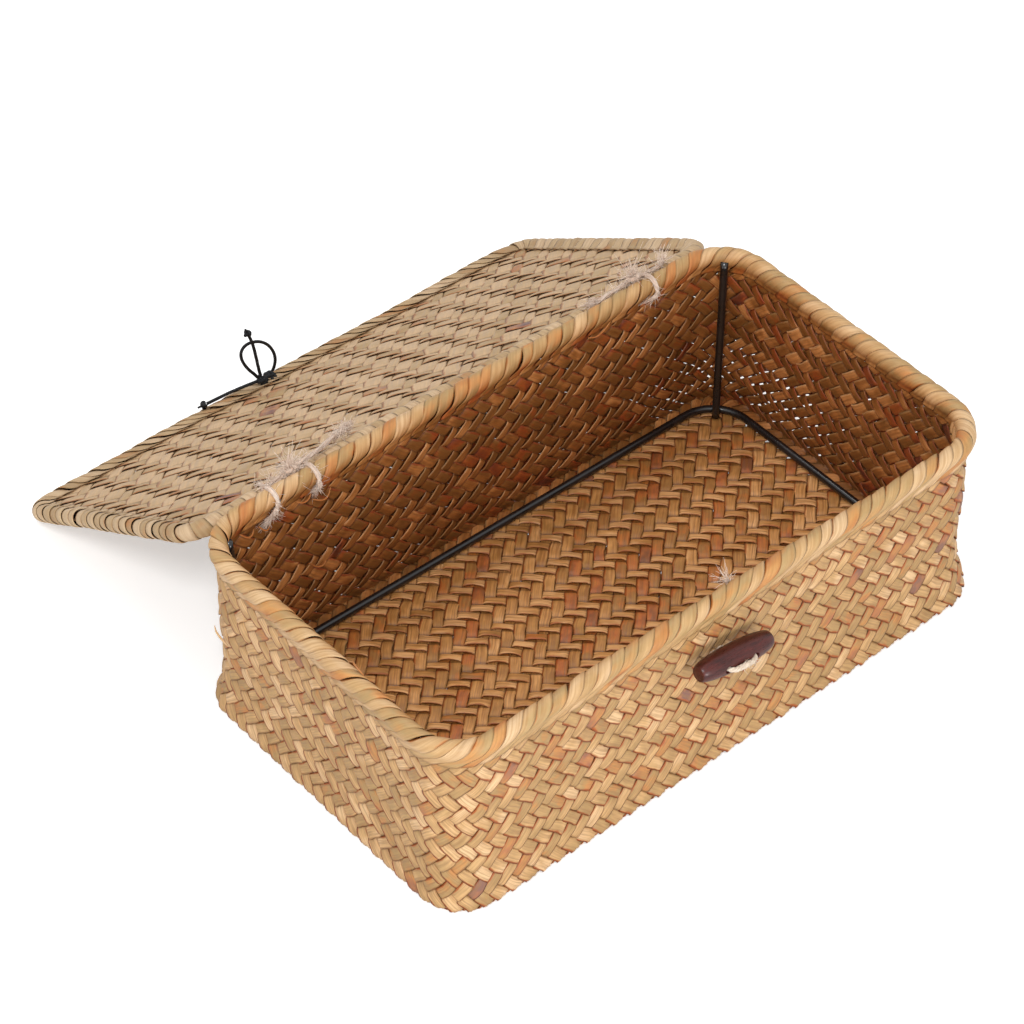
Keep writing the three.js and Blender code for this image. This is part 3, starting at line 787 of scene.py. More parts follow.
LID_BORDER_LEAF = leaf_material(
    "lid_border_leaf",
    [(0.0, (0.68, 0.49, 0.30)), (0.4, (0.56, 0.395, 0.215)), (0.65, (0.45, 0.30, 0.15)),
     (0.85, (0.50, 0.23, 0.08)), (1.0, (0.26, 0.12, 0.06))],
    # The cut edge with painted shade along it, and painted shade where a wrap or strip dives.
    (0.36, 0.10, 0.018), (0.12, 0.045, 0.012), LID_BACK_SHADE, GROOVE, 0.4, 0.6)
LID_LEAF = leaf_material(
    "lid_leaf",
    [(0.0, (0.69, 0.465, 0.265)), (0.35, (0.56, 0.375, 0.195)), (0.6, (0.45, 0.29, 0.13)),
     (0.78, (0.50, 0.21, 0.08)), (1.0, (0.18, 0.09, 0.085))],
    # The cut edge with painted shade along it, and painted shade where a strip dives.
    (0.38, 0.09, 0.016), (0.05, 0.018, 0.008), LID_BACK_SHADE, (0.30, 0.18, 0.10), 0.3, 0.55)

# %% [markdown]
# The tub
#
# The wall is one sheet bent round the box: u goes round the rim line and v goes up from the
# fold at the base. Going round, the corner centres and the outward angle take turns to move,
# which gives straight sides and round corners from one formula. The weaver packs the strips
# closer at the sides than at the corners, so u is counted in cells of the weave. Below the
# fold the sheet turns in under the box, where the floor's edge lies on it.

# %% The wall's surface
WALL_COUNT = 120
WALL_PITCH = 0.0058
CELL = math.sqrt(2) * WALL_PITCH
CORNER_CELLS, LONG_SIDE_CELLS, SHORT_SIDE_CELLS = 4.87, 33.09, 17.17
half_way_round = [CORNER_CELLS, LONG_SIDE_CELLS, CORNER_CELLS, SHORT_SIDE_CELLS]
around = np.cumsum([0] + half_way_round + half_way_round)
around *= WALL_COUNT / around[-1] * CELL
PERIMETER = around[-1]
OUTWARD = np.array([0, 90, 90, 180, 180, 270, 270, 360, 360]) * math.pi / 180
SIDE_X = np.array([1, 1, -1, -1, -1, -1, 1, 1, 1.0])
SIDE_Y = np.array([1, 1, 1, 1, -1, -1, -1, -1, 1.0])
FOLD_ARC = math.pi / 2 * FOLD_RADIUS
MIDDLE_LOW = WEAVE_THICKNESS / 2
FOLD_TOP = MIDDLE_LOW + FOLD_RADIUS
WANDER, WANDER_UP, BULGE, WAVE_RATE = 0.0009, 0.0008, 0.0008, 45
FOOT_FLARE, FOOT_HEIGHT = 0.0037, 0.011
WAISTS = [(0.165, -0.085, 0.0022), (-0.165, 0.085, 0.0015)]
WAIST_REACH, WAIST_HEIGHT, WAIST_RISE = 0.035, 0.034, 0.02
UNDER_LENGTH, UNDER_PRESS, UNDER_DROP = 0.003, 0.4, 0.0001


def outline(u, half_length, half_width, radius):
    """The point of a rounded rectangle at u, and its outward direction. u runs anticlockwise
    along the rim's line, and other outlines share its corners and sides in proportion."""
    u = np.mod(u, PERIMETER)
    angle = np.interp(u, around, OUTWARD)
    x = np.interp(u, around, SIDE_X) * (half_length - radius) + radius * np.cos(angle)
    y = np.interp(u, around, SIDE_Y) * (half_width - radius) + radius * np.sin(angle)
    return x, y, np.cos(angle), np.sin(angle)


def wall_place(u, v, n):
    """Wall coordinates to points. Above v = 0 the sheet rises; between minus the fold's arc and
    0 it follows a quarter circle; below that it lies flat under the box. n is outward. The rows
    wander a little, by waves of the place round the box, so that they meet where u starts. The
    foot flares, and two corners are drawn in above it, each by a bell about its place."""
    x, y, _, _ = outline(u, RIM_HALF_LENGTH, RIM_HALF_WIDTH, RIM_RADIUS)
    free = np.clip(v / 0.02, 0, 1)
    wave_x, wave_y = x * WAVE_RATE + v * 30, y * WAVE_RATE - v * 35
    u = u + WANDER * free * wobble(wave_x, wave_y, 1.0)
    v = v + WANDER_UP * free * wobble(wave_x, wave_y, 7.0)
    below_rim = np.clip((0.1 - v) / 0.03, 0, 1)
    bulge = BULGE * wobble(x * 28 + v * 40, y * 28 - v * 36, 3.0) * free * below_rim
    turn = np.clip((v + FOLD_ARC) / FOLD_RADIUS, 0, math.pi / 2)
    flat = np.maximum(-FOLD_ARC - v, 0)
    z = MIDDLE_LOW + FOLD_RADIUS * (1 - np.cos(turn)) + np.maximum(v, 0)
    inward = FOLD_RADIUS * (1 - np.sin(turn)) + flat
    spread = np.clip(1 - z / WALL_TOP, 0, 1) ** 2
    foot = FOOT_FLARE * np.exp(-z / FOOT_HEIGHT)
    waist = sum(depth * np.exp(-((x - at_x) ** 2 + (y - at_y) ** 2) / WAIST_REACH ** 2
                               - ((z - WAIST_HEIGHT) / WAIST_RISE) ** 2)
                for at_x, at_y, depth in WAISTS)
    x, y, out_x, out_y = outline(u, RIM_HALF_LENGTH + BASE_FLARE_LENGTH * spread,
                                 RIM_HALF_WIDTH + BASE_FLARE_WIDTH * spread,
                                 RIM_RADIUS + (BASE_RADIUS - RIM_RADIUS) * spread)
    out = n * np.sin(turn) - inward + bulge + foot - waist
    tuck = np.clip(flat / UNDER_LENGTH, 0, 1)
    height = z - n * np.cos(turn) * (1 - UNDER_PRESS * tuck) - UNDER_DROP * tuck
    return np.stack([x + out * out_x, y + out * out_y, np.broadcast_to(height, x.shape)], -1)


# %% The wall's strips
WALL_SHEET_TOP = 0.1035 - FOLD_TOP
WALL_SHEET_LOW = -FOLD_ARC - 0.0085
LOOSE_SHARE, LOOSE_CELLS, LOOSE_HEIGHT, LOOSE_RISE = 0.17, 8, 0.024, 0.021


def loose_corner(u, v):
    """How much thinner the strips are low down about the back right corner, where daylight
    comes through: a bell in u and v about that corner."""
    from_corner = np.mod(u + PERIMETER / 2, PERIMETER) - PERIMETER / 2
    return LOOSE_SHARE * np.exp(-(from_corner / (LOOSE_CELLS * CELL)) ** 4
                                - ((v - LOOSE_HEIGHT) / LOOSE_RISE) ** 4)


def nowhere(u, v):
    """No thinning."""
    return 0.0 * u


# Shapes: width, pinch where a strip is on top, spread and sway in cells; amplitude, thickness,
# curl and tilt in metres; alternate is how much every other strip is broader. Looks: tone of
# each family, strip and float are its changes from one strip and one stretch to the next, bright
# and accents the shares of strips and stretches that are more orange.
# inner picks the faces that get painted shade: -1 those facing into the box, 1 those facing up, 0
# none.
wall_look = {"width": {1: 1.16, -1: 1.13}, "pinch": {1: 0.02, -1: 0.04}, "spread": 0.09,
             "sway": 0.06, "amplitude": 0.0009, "thickness": 0.0005, "curl": 0.0001,
             "tilt": {1: 0.0006, -1: 0.0004}, "alternate": 0.0, "thin": loose_corner, "inner": -1,
             "tone": {1: 0.26, -1: 0.36}, "strip": {1: 0.2, -1: 0.23}, "float": 0.32,
             "bright": 0.1, "accents": 0.06}


def wall_inside(u, v):
    """Whether (u, v) is between the tucked edge and the rim."""
    return (v > WALL_SHEET_LOW) & (v < WALL_SHEET_TOP)


reach = int((WALL_SHEET_TOP - WALL_SHEET_LOW) * math.sqrt(2) / WALL_PITCH) + 3
wall_strips = both_families("wall", 11, wall_place, wall_inside, WALL_PITCH,
                            np.arange(WALL_COUNT), np.arange(-reach, WALL_COUNT + reach), True,
                            wall_look, WALL_LEAF, parts=4)

# %% [markdown]
# The floor
#
# The floor is the same twill laid flat. Its edge lies on the wall's turned-in strips, under
# the ring of wire that holds the base in shape.

# %% The floor's strips
FLOOR_INSET = 0.0066
FLOOR_STRETCH = 1.035
EDGE_LIFT, EDGE_PRESS = 0.0006, 0.4
floor_look = {**wall_look, "width": {1: 1.02, -1: 1.12}, "pinch": {1: 0.17, -1: 0.02},
              "tilt": {1: 0.00035, -1: 0.00012}, "thin": nowhere, "inner": 1,
              "tone": {1: 0.06, -1: 0.42}, "strip": {1: 0.1, -1: 0.3}, "float": 0.2,
              "bright": 0.12, "accents": 0.03}


def flat_inside(half_length, half_width, radius, stretch_u=1.0, stretch_v=1.0):
    """Whether (u, v), each stretched, is inside a rounded rectangle about the origin."""
    def inside(u, v):
        x = np.maximum(np.abs(u * stretch_u) - (half_length - radius), 0)
        y = np.maximum(np.abs(v * stretch_v) - (half_width - radius), 0)
        return np.hypot(x, y) < radius
    return inside


floor_half_length = RIM_HALF_LENGTH + BASE_FLARE_LENGTH - FLOOR_INSET
floor_half_width = RIM_HALF_WIDTH + BASE_FLARE_WIDTH - FLOOR_INSET
floor_radius = BASE_RADIUS - FLOOR_INSET


def floor_place(u, v, n):
    """Flat, with its edge lifted a little where it lies on the wall's strips."""
    x, y = u * FLOOR_STRETCH, v
    near = np.maximum(np.abs(x) - (floor_half_length - 0.004),
                      np.abs(y) - (floor_half_width - 0.004))
    lift = np.clip(near / 0.003, 0, 1)
    free = np.clip(-near / 0.02, 0, 1)
    z = MIDDLE_LOW + n * (1 - EDGE_PRESS * lift) + EDGE_LIFT * lift
    x = x + WANDER * free * wobble(u * WAVE_RATE, v * WAVE_RATE, 2.0)
    y = y + WANDER * free * wobble(u * WAVE_RATE, v * WAVE_RATE, 6.0)
    return np.stack(np.broadcast_arrays(x, y, z), -1)


floor_reach = int((floor_half_length + floor_half_width) / math.sqrt(2) / WALL_PITCH) + 2
cells = np.arange(-floor_reach, floor_reach)
on_floor = flat_inside(floor_half_length, floor_half_width, floor_radius, FLOOR_STRETCH)
floor_strips = both_families("floor", 31, floor_place, on_floor, WALL_PITCH, cells, cells, True,
                             floor_look, FLOOR_LEAF, parts=2)

for piece in wall_strips + floor_strips:
    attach(piece, "box")
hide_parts("woven_tub")

# %% [markdown]
# The lid
#
# The lid is a flat sheet of wider strips, and its twill runs the other way. Broad and narrow
# strips take turns, so its rows come in pairs. It is made in the lid's own plane: u along the
# hinge, v down the slope, n off its inner face.

# %% The lid's strips
LID_PITCH = 0.0076
LID_STRETCH_U, LID_STRETCH_V = 0.9163, 1.107
LID_UNEVEN = 0.0006
lid_look = {"width": {1: 1.08, -1: 1.26}, "pinch": {1: 0.07, -1: -0.02}, "spread": 0.1,
            "sway": 0.06, "amplitude": 0.0008, "thickness": 0.00055, "curl": 0.0001,
            "tilt": {1: 0.0003, -1: 0.00014}, "alternate": 0.22, "thin": nowhere, "inner": 0,
            "tone": {1: 0.38, -1: 0.16}, "strip": {1: 0.14, -1: 0.1}, "float": 0.26,
            "bright": 0.05, "accents": 0.04}
lid_middle = np.array([LID_SHIFT, lid_hinge[1], lid_hinge[2]]) + lid_down * LID_DEPTH / 2


def lid_plane(x, y, n):
    """A point of the lid's plane: x along the hinge, y down the slope, n off the inner face."""
    x, y, n = np.broadcast_arrays(x, y, n)
    return (lid_middle + x[..., None] * np.array([1.0, 0, 0]) + y[..., None] * lid_down
            + n[..., None] * lid_out)


def lid_uneven(u, v):
    """How far the sheet and its border stand off the lid's plane, at the sheet's u and v."""
    return LID_UNEVEN * wobble(u * 30, v * 34, 5.0)


def lid_place(u, v, n):
    """Lid coordinates to points, with a slight unevenness of the whole sheet."""
    x, y = u * LID_STRETCH_U, v * LID_STRETCH_V
    free = (np.clip((LID_HALF_LENGTH - np.abs(x)) / 0.02, 0, 1)
            * np.clip((LID_DEPTH / 2 - np.abs(y)) / 0.02, 0, 1))
    return lid_plane(x + WANDER * free * wobble(u * 48, v * 48, 2.5),
                     y + WANDER * free * wobble(u * 48, v * 48, 8.5), n + lid_uneven(u, v))


lid_span = LID_HALF_LENGTH / LID_STRETCH_U + LID_DEPTH / 2 / LID_STRETCH_V
lid_reach = int(lid_span / math.sqrt(2) / LID_PITCH) + 2
cells = np.arange(-lid_reach, lid_reach)
on_lid = flat_inside(LID_HALF_LENGTH, LID_DEPTH / 2, LID_RADIUS, LID_STRETCH_U, LID_STRETCH_V)
lid_strips = both_families("lid", 51, lid_place, on_lid, LID_PITCH, cells, cells, False, lid_look,
                           LID_LEAF)
for piece in lid_strips:
    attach(piece, "lid")
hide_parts("lid_panel")

# %% [markdown]
# The rim
#
# The wall's strips that lean right don't stop at the wire: each goes over it, slanting as
# before, and down inside. So the rim is a row of slanting wraps, one for each of these strips.
# A wrap's path is a hairpin: up the outside, round the bead, and down the inside, where its
# tail lies against the weave.

# %% Wraps along a line
WRAP_THICKNESS, WRAP_CROWN = 0.00045, 0.0003


def hairpin(points, steps):
    """A profile through (outward, up) points: at each of the steps its place, its own outward
    direction, and the distance along it."""
    path = smooth_path(np.array(points) / 1000, steps)
    ahead = unit(np.gradient(path, axis=0))
    return path[:, 0], path[:, 1], -ahead[:, 1], ahead[:, 0], path_length(path)


def wraps(name, line, count, spacing, profile, look, material, seed):
    """count bands over a bead. line(w, out, rise) gives the points at w along the bead. Band i
    starts at w = i spacing and moves on by slant(w) times the distance along its profile, and by
    less and less of it as ease grows; centre is the distance that stays put. Its leading edge
    lies on the next band's trailing edge, as shingles do."""
    random = np.random.default_rng(seed)
    out, rise, normal_out, normal_up, distance = (a[None, :] for a in profile)
    steps = distance.shape[1]
    share = distance / distance[0, -1]
    side = np.sign((normal_out * out + normal_up * rise)[0, steps // 2])
    position = np.linspace(0, 5, steps)[None, :]
    begin = (np.arange(count)[:, None] + 0.1 * random.uniform(-1, 1, (count, 1))) * spacing
    tone = (look["tone"] + 0.38 * random.uniform(-1, 1, (count, 1))
            + 0.15 * run_of(random, count, position))
    half = look["width"] / 2 * (1 + 0.10 * random.uniform(-1, 1, (count, 1))
                                + 0.07 * run_of(random, count, position))
    moved = look["slant"](begin) * (distance * (1 - look["ease"] * share) - look["centre"])
    w = begin + moved + look["sway"] * run_of(random, count, position * 0.6)
    w = w[..., None] + SECTION_ACROSS * half[..., None]
    crown = WRAP_CROWN * (1 - SECTION_ACROSS ** 2)
    crown = crown * random.uniform(0.4, 1.6, (count, 1))[..., None]
    shingle = look["shingle"] * (1 + SECTION_ACROSS) / 2
    lift = SECTION_RISE * WRAP_THICKNESS / 2 + shingle + crown
    lift = side * (lift + 0.00018 * run_of(random, count, position)[..., None])
    points = line(w, out[..., None] + normal_out[..., None] * lift,
                  rise[..., None] + normal_up[..., None] * lift)
    kept = np.ones((count, steps), bool)
    # Painted shade towards both ends of a wrap, where it goes into the weave.
    ends = np.minimum(share, 1 - share) / 0.16
    # The half of a wrap that runs down inside gets painted shade, by the look's share.
    inner = np.clip((share - 0.5) / 0.35, 0, 1) * look["inner"]
    values = {"tone": tone, "crossing": np.clip(0.25 + ends, 0, 1) + 0 * begin,
              "inner": inner + 0 * begin}
    along = distance * 100 + LEAF_SHIFT * np.arange(count)[:, None]
    return band_piece(name, points, kept, along, values, material)


# %% The rim's wraps
def rim_line(w, out, rise):
    """Points at w round the rim, out from the bead's middle line and up from it."""
    x, y, out_x, out_y = outline(w, RIM_HALF_LENGTH, RIM_HALF_WIDTH, RIM_RADIUS)
    wave = 0.00035 * wobble(x * 70, y * 70, 4.0)
    return np.stack([x + out * out_x, y + out * out_y, RIM_HEIGHT + rise + wave], -1)


def rim_slant(w):
    """The rim's wraps all slant alike."""
    return 1.42


RIM_PROFILE = hairpin([(1.35, -9.5), (1.5, -7), (2.4, -4.4), (3.5, -1.8), (3.8, 0.4), (3.2, 2.4),
                       (1.8, 3.5), (0, 3.9), (-1.9, 3.4), (-3.2, 2.2), (-3.8, 0.2), (-3.4, -2),
                       (-2.2, -4.4), (-1.5, -6.5), (-1.35, -8.5)], 34)
rim_look = {"width": 0.0102, "slant": rim_slant, "ease": 0.34, "centre": 0, "sway": 0.0011,
            "shingle": 0.0009, "tone": 0.38, "inner": 1.0}
rim_wraps = wraps("rim_wraps", rim_line, WALL_COUNT, CELL, RIM_PROFILE, rim_look, RIM_LEAF, 71)
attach(rim_wraps, "box")
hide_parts("rim_wrap")
print("rim wraps", len(rim_wraps.data.polygons), "faces")

# %% [markdown]
# The lid's border
#
# The lid's border is wound too, but nearly square to its edge, and it is flatter than the rim.

# %% The lid's wraps
lid_sides = [math.pi / 2 * LID_RADIUS, 2 * (LID_HALF_LENGTH - LID_RADIUS),
             math.pi / 2 * LID_RADIUS, LID_DEPTH - 2 * LID_RADIUS]
lid_around = np.cumsum([0] + lid_sides + lid_sides)
LID_WRAP_COUNT = round(lid_around[-1] / 0.0072)


def lid_line(w, out, rise):
    """Points at w round the lid's edge; out is outward in its plane, rise is off its inner face."""
    w = np.mod(w, lid_around[-1])
    angle = np.interp(w, lid_around, OUTWARD)
    x = (np.interp(w, lid_around, SIDE_X) * (LID_HALF_LENGTH - LID_RADIUS)
         + (LID_RADIUS + out) * np.cos(angle))
    y = (np.interp(w, lid_around, SIDE_Y) * (LID_DEPTH / 2 - LID_RADIUS)
         + (LID_RADIUS + out) * np.sin(angle))
    wave = 0.0004 * wobble(x * 90, y * 90, 9.0)
    return lid_plane(x + wave * np.cos(angle), y + wave * np.sin(angle),
                     rise + lid_uneven(x / LID_STRETCH_U, y / LID_STRETCH_V))


LID_PROFILE = hairpin([(-7.5, -1.3), (-5, -1.6), (-2.4, -2.7), (0, -3.5), (2.2, -3.0), (3.6, -1.2),
                       (3.8, 0.6), (2.7, 2.6), (0.6, 3.5), (-2, 3.0), (-4.6, 1.8), (-7.5, 1.3)], 26)


def lid_slant(w):
    """Along the free edge the wraps slant far; towards the ends they come nearly square to the
    edge."""
    middle, length = (lid_around[1] + lid_around[2]) / 2, lid_around[2] - lid_around[1]
    away = np.abs(np.mod(w - middle + lid_around[-1] / 2, lid_around[-1]) - lid_around[-1] / 2)
    return np.interp(away, [length / 2 - 0.06, length / 2 + 0.06], [-1.3, -0.3])


lid_wrap_look = {"width": 0.0092, "slant": lid_slant, "ease": 0.0, "centre": 0.014,
                 "sway": 0.0010, "shingle": 0.0010, "tone": 0.34, "inner": 0.0}
lid_wraps = wraps("lid_border_wraps", lid_line, LID_WRAP_COUNT, lid_around[-1] / LID_WRAP_COUNT,
                  LID_PROFILE, lid_wrap_look, LID_BORDER_LEAF, 73)
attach(lid_wraps, "lid")
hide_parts("lid_border")

# %% [markdown]
# Wire
#
# The frame is bent from round wire with a satin black coat: a ring on the floor, a post in each
# corner, and two rings that the wraps hide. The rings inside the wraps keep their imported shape.

# %% Black wire
def wire_material():
    """Satin black paint, with faint grain and dust in places."""
    material, tree, shader = new_material("black_wire")
    place = tree.nodes.new("ShaderNodeTexCoord").outputs["Object"]
    patches = noise_node(tree, place, 60.0)
    colour = mix_colour(tree, remap(tree, patches, 0.4, 0.75),
                        (0.006, 0.0055, 0.006), (0.016, 0.014, 0.014))
    tree.links.new(colour, shader.inputs["Base Color"])
    tree.links.new(remap(tree, patches, 0.3, 0.7, 0.2, 0.36), shader.inputs["Roughness"])
    shader.inputs["Coat Weight"].default_value = 0.3
    shader.inputs["Coat Roughness"].default_value = 0.15
    bump(tree, shader, noise_node(tree, place, 900.0, 2.0), 0.15, 0.0002)
    return material


BLACK_WIRE = wire_material()
BOTTOM_RING_INSET, BOTTOM_RING_RADIUS, FIT_GAP = 0.0087, 0.023, 0.0003
ring_half_length = RIM_HALF_LENGTH + BASE_FLARE_LENGTH + WEAVE_THICKNESS / 2 - BOTTOM_RING_INSET
ring_half_width = RIM_HALF_WIDTH + BASE_FLARE_WIDTH + WEAVE_THICKNESS / 2 - BOTTOM_RING_INSET
w = np.linspace(0, PERIMETER, 320, endpoint=False)
x, y, _, _ = outline(w, ring_half_length, ring_half_width, BOTTOM_RING_RADIUS)
ring_path = np.stack([x, y, np.full_like(x, WEAVE_THICKNESS + FIT_GAP + WIRE_RADIUS)], -1)
strand_piece("bottom_ring", [tube(ring_path, WIRE_RADIUS, 20, (0, 0, 1), True)], BLACK_WIRE, "box",
             ["bottom_wire_ring"])

# %% Corner posts
HEAD_SHORT, HIDDEN_HEAD_SHORT = 0.0002, 0.008

for corner in ("back_right", "back_left", "front_left", "front_right"):
    low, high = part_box(f"corner_post_{corner}")
    sx, sy = (1 if "right" in corner else -1), (1 if "back" in corner else -1)
    foot = [low.x if sx > 0 else high.x, low.y if sy > 0 else high.y, low.z + 0.0004]
    short = HIDDEN_HEAD_SHORT if corner == "front_right" else HEAD_SHORT
    head = [high.x if sx > 0 else low.x, high.y if sy > 0 else low.y, high.z - short]
    ends = np.array([foot, head]) + np.array([[sx, sy, 0], [-sx, -sy, 0]]) * WIRE_RADIUS
    post = ends[0] + np.linspace(0, 1, 24)[:, None] * (ends[1] - ends[0])
    strand_piece(f"post_{corner}", [tube(post, WIRE_RADIUS, 20, (1, 0, 0))], BLACK_WIRE, "box",
                 [f"corner_post_{corner}"])
for node in ("top_wire_ring", "lid_wire_ring"):
    frame["nodes"][node].data.materials.clear()
    frame["nodes"][node].data.materials.append(BLACK_WIRE)
print("wire frame made")

# %% [markdown]
# Twine
#
# Twine is three plies wound round each other, and loose hairs stand out of it. A ply is a tube
# on a helix about the twine's path. A hair is a three-sided tube that starts in the twine and
# bends away; all hairs of a piece are one array, so hundreds cost little.

# %% Plies and hairs
def plies(path, radius, fixed, closed=False, turn_length=0.0075):
    """Three tubes about a path: ply k is at angle 2 pi (distance / turn_length + k / 3)."""
    _, side, over = frames(path, fixed, closed)
    distance = path_length(path)
    turns = distance / turn_length
    if closed:
        whole = distance[-1] + np.linalg.norm(path[-1] - path[0])
        turns = distance / whole * round(whole / turn_length)
    groups = []
    for k in range(3):
        angle = 2 * math.pi * (turns + k / 3)[:, None]
        centre = path + 0.5 * radius * (np.cos(angle) * side + np.sin(angle) * over)
        groups.append(tube(centre, 0.56 * radius, 8, fixed, closed))
    return groups


def fine_tubes(centre, radius):
    """Three-sided tubes along many paths at once, as one (points, faces, uv). centre is
    (tube, step, 3), and every tube thins to half its radius at its end."""
    count, steps = centre.shape[:2]
    t = np.linspace(0, 1, steps)[None, :, None]
    tangent = unit(np.gradient(centre, axis=1))
    side = unit(np.cross(tangent, unit(tangent.mean(1) + (0.9, -0.7, 0.5))[:, None]))
    over = np.cross(side, tangent)
    angle = (np.arange(3) / 3 * 2 * math.pi)[:, None]
    ring = np.cos(angle) * side[:, :, None] + np.sin(angle) * over[:, :, None]
    points = centre[:, :, None] + radius * (1 - 0.5 * t)[..., None] * ring
    number = np.arange(count * steps * 3).reshape(count, steps, 3)
    gone = np.linalg.norm(np.diff(centre, axis=1), axis=2).cumsum(1)
    along = np.concatenate([np.zeros((count, 1)), gone], 1) * 100 + np.arange(count)[:, None] * 0.37
    uv = np.repeat(np.stack([along, np.broadcast_to(t[..., 0], along.shape)], -1)[:, :, None], 3, 2)
    faces = [ring_quads(number), number[:, 0], number[:, -1, ::-1]]
    return points.reshape(-1, 3), faces, uv.reshape(-1, 2)


def hairs(roots, ways, lengths, bends, radius=0.00013):
    """Hairs along root + length (way t + bend t^2)."""
    t = np.linspace(0, 1, 6)[None, :, None]
    gone = lengths[:, None, None] * (ways[:, None] * t + bends[:, None] * t ** 2)
    return fine_tubes(roots[:, None] + gone, radius)


def bundle(path, radius, count, random):
    """Hardly twisted fibres side by side along a path: fibre k keeps to its own smooth random
    place across the strand, within the radius."""
    level = abs(path[-1, 2] - path[0, 2]) < 0.02
    _, side, over = frames(path, (0.13, 0.21, 1) if level else (1, 0.1, 0.1))
    position = np.linspace(0, 4, len(path))[None, :]
    twist = np.linspace(0, 5, len(path))[None, :] + random.uniform(0, 6.3, (count, 1))
    out = radius * np.sqrt(random.random((count, 1))) * (1 + 0.35 * run_of(random, count, position))
    a, b = out * np.cos(twist), out * np.sin(twist)
    return fine_tubes(path + a[..., None] * side + b[..., None] * over, 0.00026)


def fuzz(path, radius, count, reach, random):
    """Hairs that stand out of a strand, mostly along it."""
    chosen = random.integers(0, len(path), count)
    tangent = unit(np.gradient(path, axis=0))[chosen] * random.choice([-1, 1], (count, 1))
    scatter = unit(random.normal(size=(count, 3)))
    ways = unit(0.9 * tangent + scatter)
    return hairs(path[chosen] + 0.5 * radius * scatter, ways, reach * random.uniform(0.3, 1, count),
                 0.5 * random.normal(size=(count, 3)))


def brush(start, way, length, count, spread, random, width=0.0006):
    """A frayed end: hairs that start close together and part on the way."""
    start, way = np.array(start), unit(np.array(way, float))
    roots = start + width * random.normal(size=(count, 3))
    ways = unit(way + spread * random.normal(size=(count, 3)))
    return hairs(roots, ways, length * random.uniform(0.45, 1, count),
                 0.8 * spread * random.normal(size=(count, 3)), 0.00015)


# %% Jute and cream twine finishes
def twine_material(name, pale, dark):
    """Soft plant fibre: streaks along the plies, darker between them."""
    material, tree, shader = new_material(name)
    strand = fibres_node(tree, 5.0)
    streaked = mix_colour(tree, strand.outputs["Fibres"], dark, pale)
    patches = remap(tree, strand.outputs["Blotches"], 0, 1, 0, 0.35)
    tree.links.new(mix_colour(tree, patches, streaked, dark), shader.inputs["Base Color"])
    dull = remap(tree, strand.outputs["Fibres"], 0, 1, 0.8, 0.95)
    tree.links.new(dull, shader.inputs["Roughness"])
    shader.inputs["Sheen Weight"].default_value = 0.3
    shader.inputs["Sheen Roughness"].default_value = 0.5
    bump(tree, shader, strand.outputs["Height"], 0.8, 0.0003)
    return material


JUTE = twine_material("jute_twine", (0.97, 0.83, 0.71), (0.74, 0.55, 0.43))
CREAM = twine_material("cream_twine", (0.88, 0.76, 0.62), (0.58, 0.45, 0.33))

# %% [markdown]
# The ties
#
# Two pieces of jute twine hinge the lid. Each loops round the rim and the lid's edge, runs
# along the valley between them and is knotted there, with frayed ends left long. A loop is
# two half circles, one about each bead, joined by straight runs.

# %% The ties' shape
tie_start, tie_reach = joints["lid_swing"], joints["lid_turn"] - joints["lid_swing"]
tie_ahead = unit(tie_reach)
tie_over = np.array([0, -tie_ahead[2], tie_ahead[1]])
TWINE_RADIUS = 0.0011
CORE_RADIUS = 0.6 * TWINE_RADIUS
RIM_LOOP_RADIUS, LID_LOOP_RADIUS = 0.0057, 0.0056
RUN_ALONG, RUN_RISE = 0.0052, 0.0046


def tie_point(x, along, rise):
    """A point by its x, its distance from the rim's middle towards the lid's, and its rise."""
    return tie_start * (0, 1, 1) + np.array([1.0, 0, 0]) * x + along * tie_ahead + rise * tie_over


def both_beads(x, lean):
    """A loop round both beads; lean shifts it along x from one bead to the other."""
    angle = np.linspace(math.pi / 2, 3 * math.pi / 2, 16)
    far = np.linalg.norm(tie_reach)
    rim_half = [tie_point(x, RIM_LOOP_RADIUS * np.cos(a), RIM_LOOP_RADIUS * np.sin(a))
                for a in angle]
    lid_half = [tie_point(x + lean, far - LID_LOOP_RADIUS * np.cos(a), -LID_LOOP_RADIUS * np.sin(a))
                for a in angle]
    return smooth_path(rim_half + lid_half + rim_half[:1], 90)[:-1]


def tie(side, loops, run, knot_x, seed):
    """One tie: its loops, the run in the valley, the knot, and hairs on all of them."""
    random = np.random.default_rng(seed)
    run_path = smooth_path([tie_point(x, RUN_ALONG + 0.0006 * math.sin(x * 300), RUN_RISE + lift)
                            for x, lift in run], 60)
    knot = tie_point(knot_x, 0.0042, 0.0072)
    knot_path = trefoil(knot, 0.00085, (0.2, -0.5, 1))
    groups = []
    for x in loops:
        loop = both_beads(x, 0.002)
        groups += [tube(loop, CORE_RADIUS, 8, (1, 0, 0), True),
                   bundle(loop, TWINE_RADIUS, 30, random),
                   fuzz(loop, TWINE_RADIUS, 110, 0.0045, random)]
    groups += [tube(run_path, CORE_RADIUS, 8, (0, 0, 1)),
               bundle(run_path, TWINE_RADIUS, 30, random),
               fuzz(run_path, TWINE_RADIUS, 200, 0.006, random)]
    groups += [tube(knot_path, 0.0010, 10, (0.3, 0.2, 1), True),
               bundle(knot_path, 0.0009, 40, random),
               fuzz(knot_path, 0.0012, 150, 0.008, random)]
    groups += [brush(knot + np.array([0, 0, 0.001]), way, 0.009, 24, 0.45, random)
               for way in ((-0.3, 0.2, 1), (0.6, 0.3, 0.6), (-1, -0.2, 0.5))]
    piece = strand_piece(f"tie_{side}", groups, JUTE, "ties", [f"hinge_tie_{side}"])
    print(piece.name, len(piece.data.polygons), "faces")
    return knot


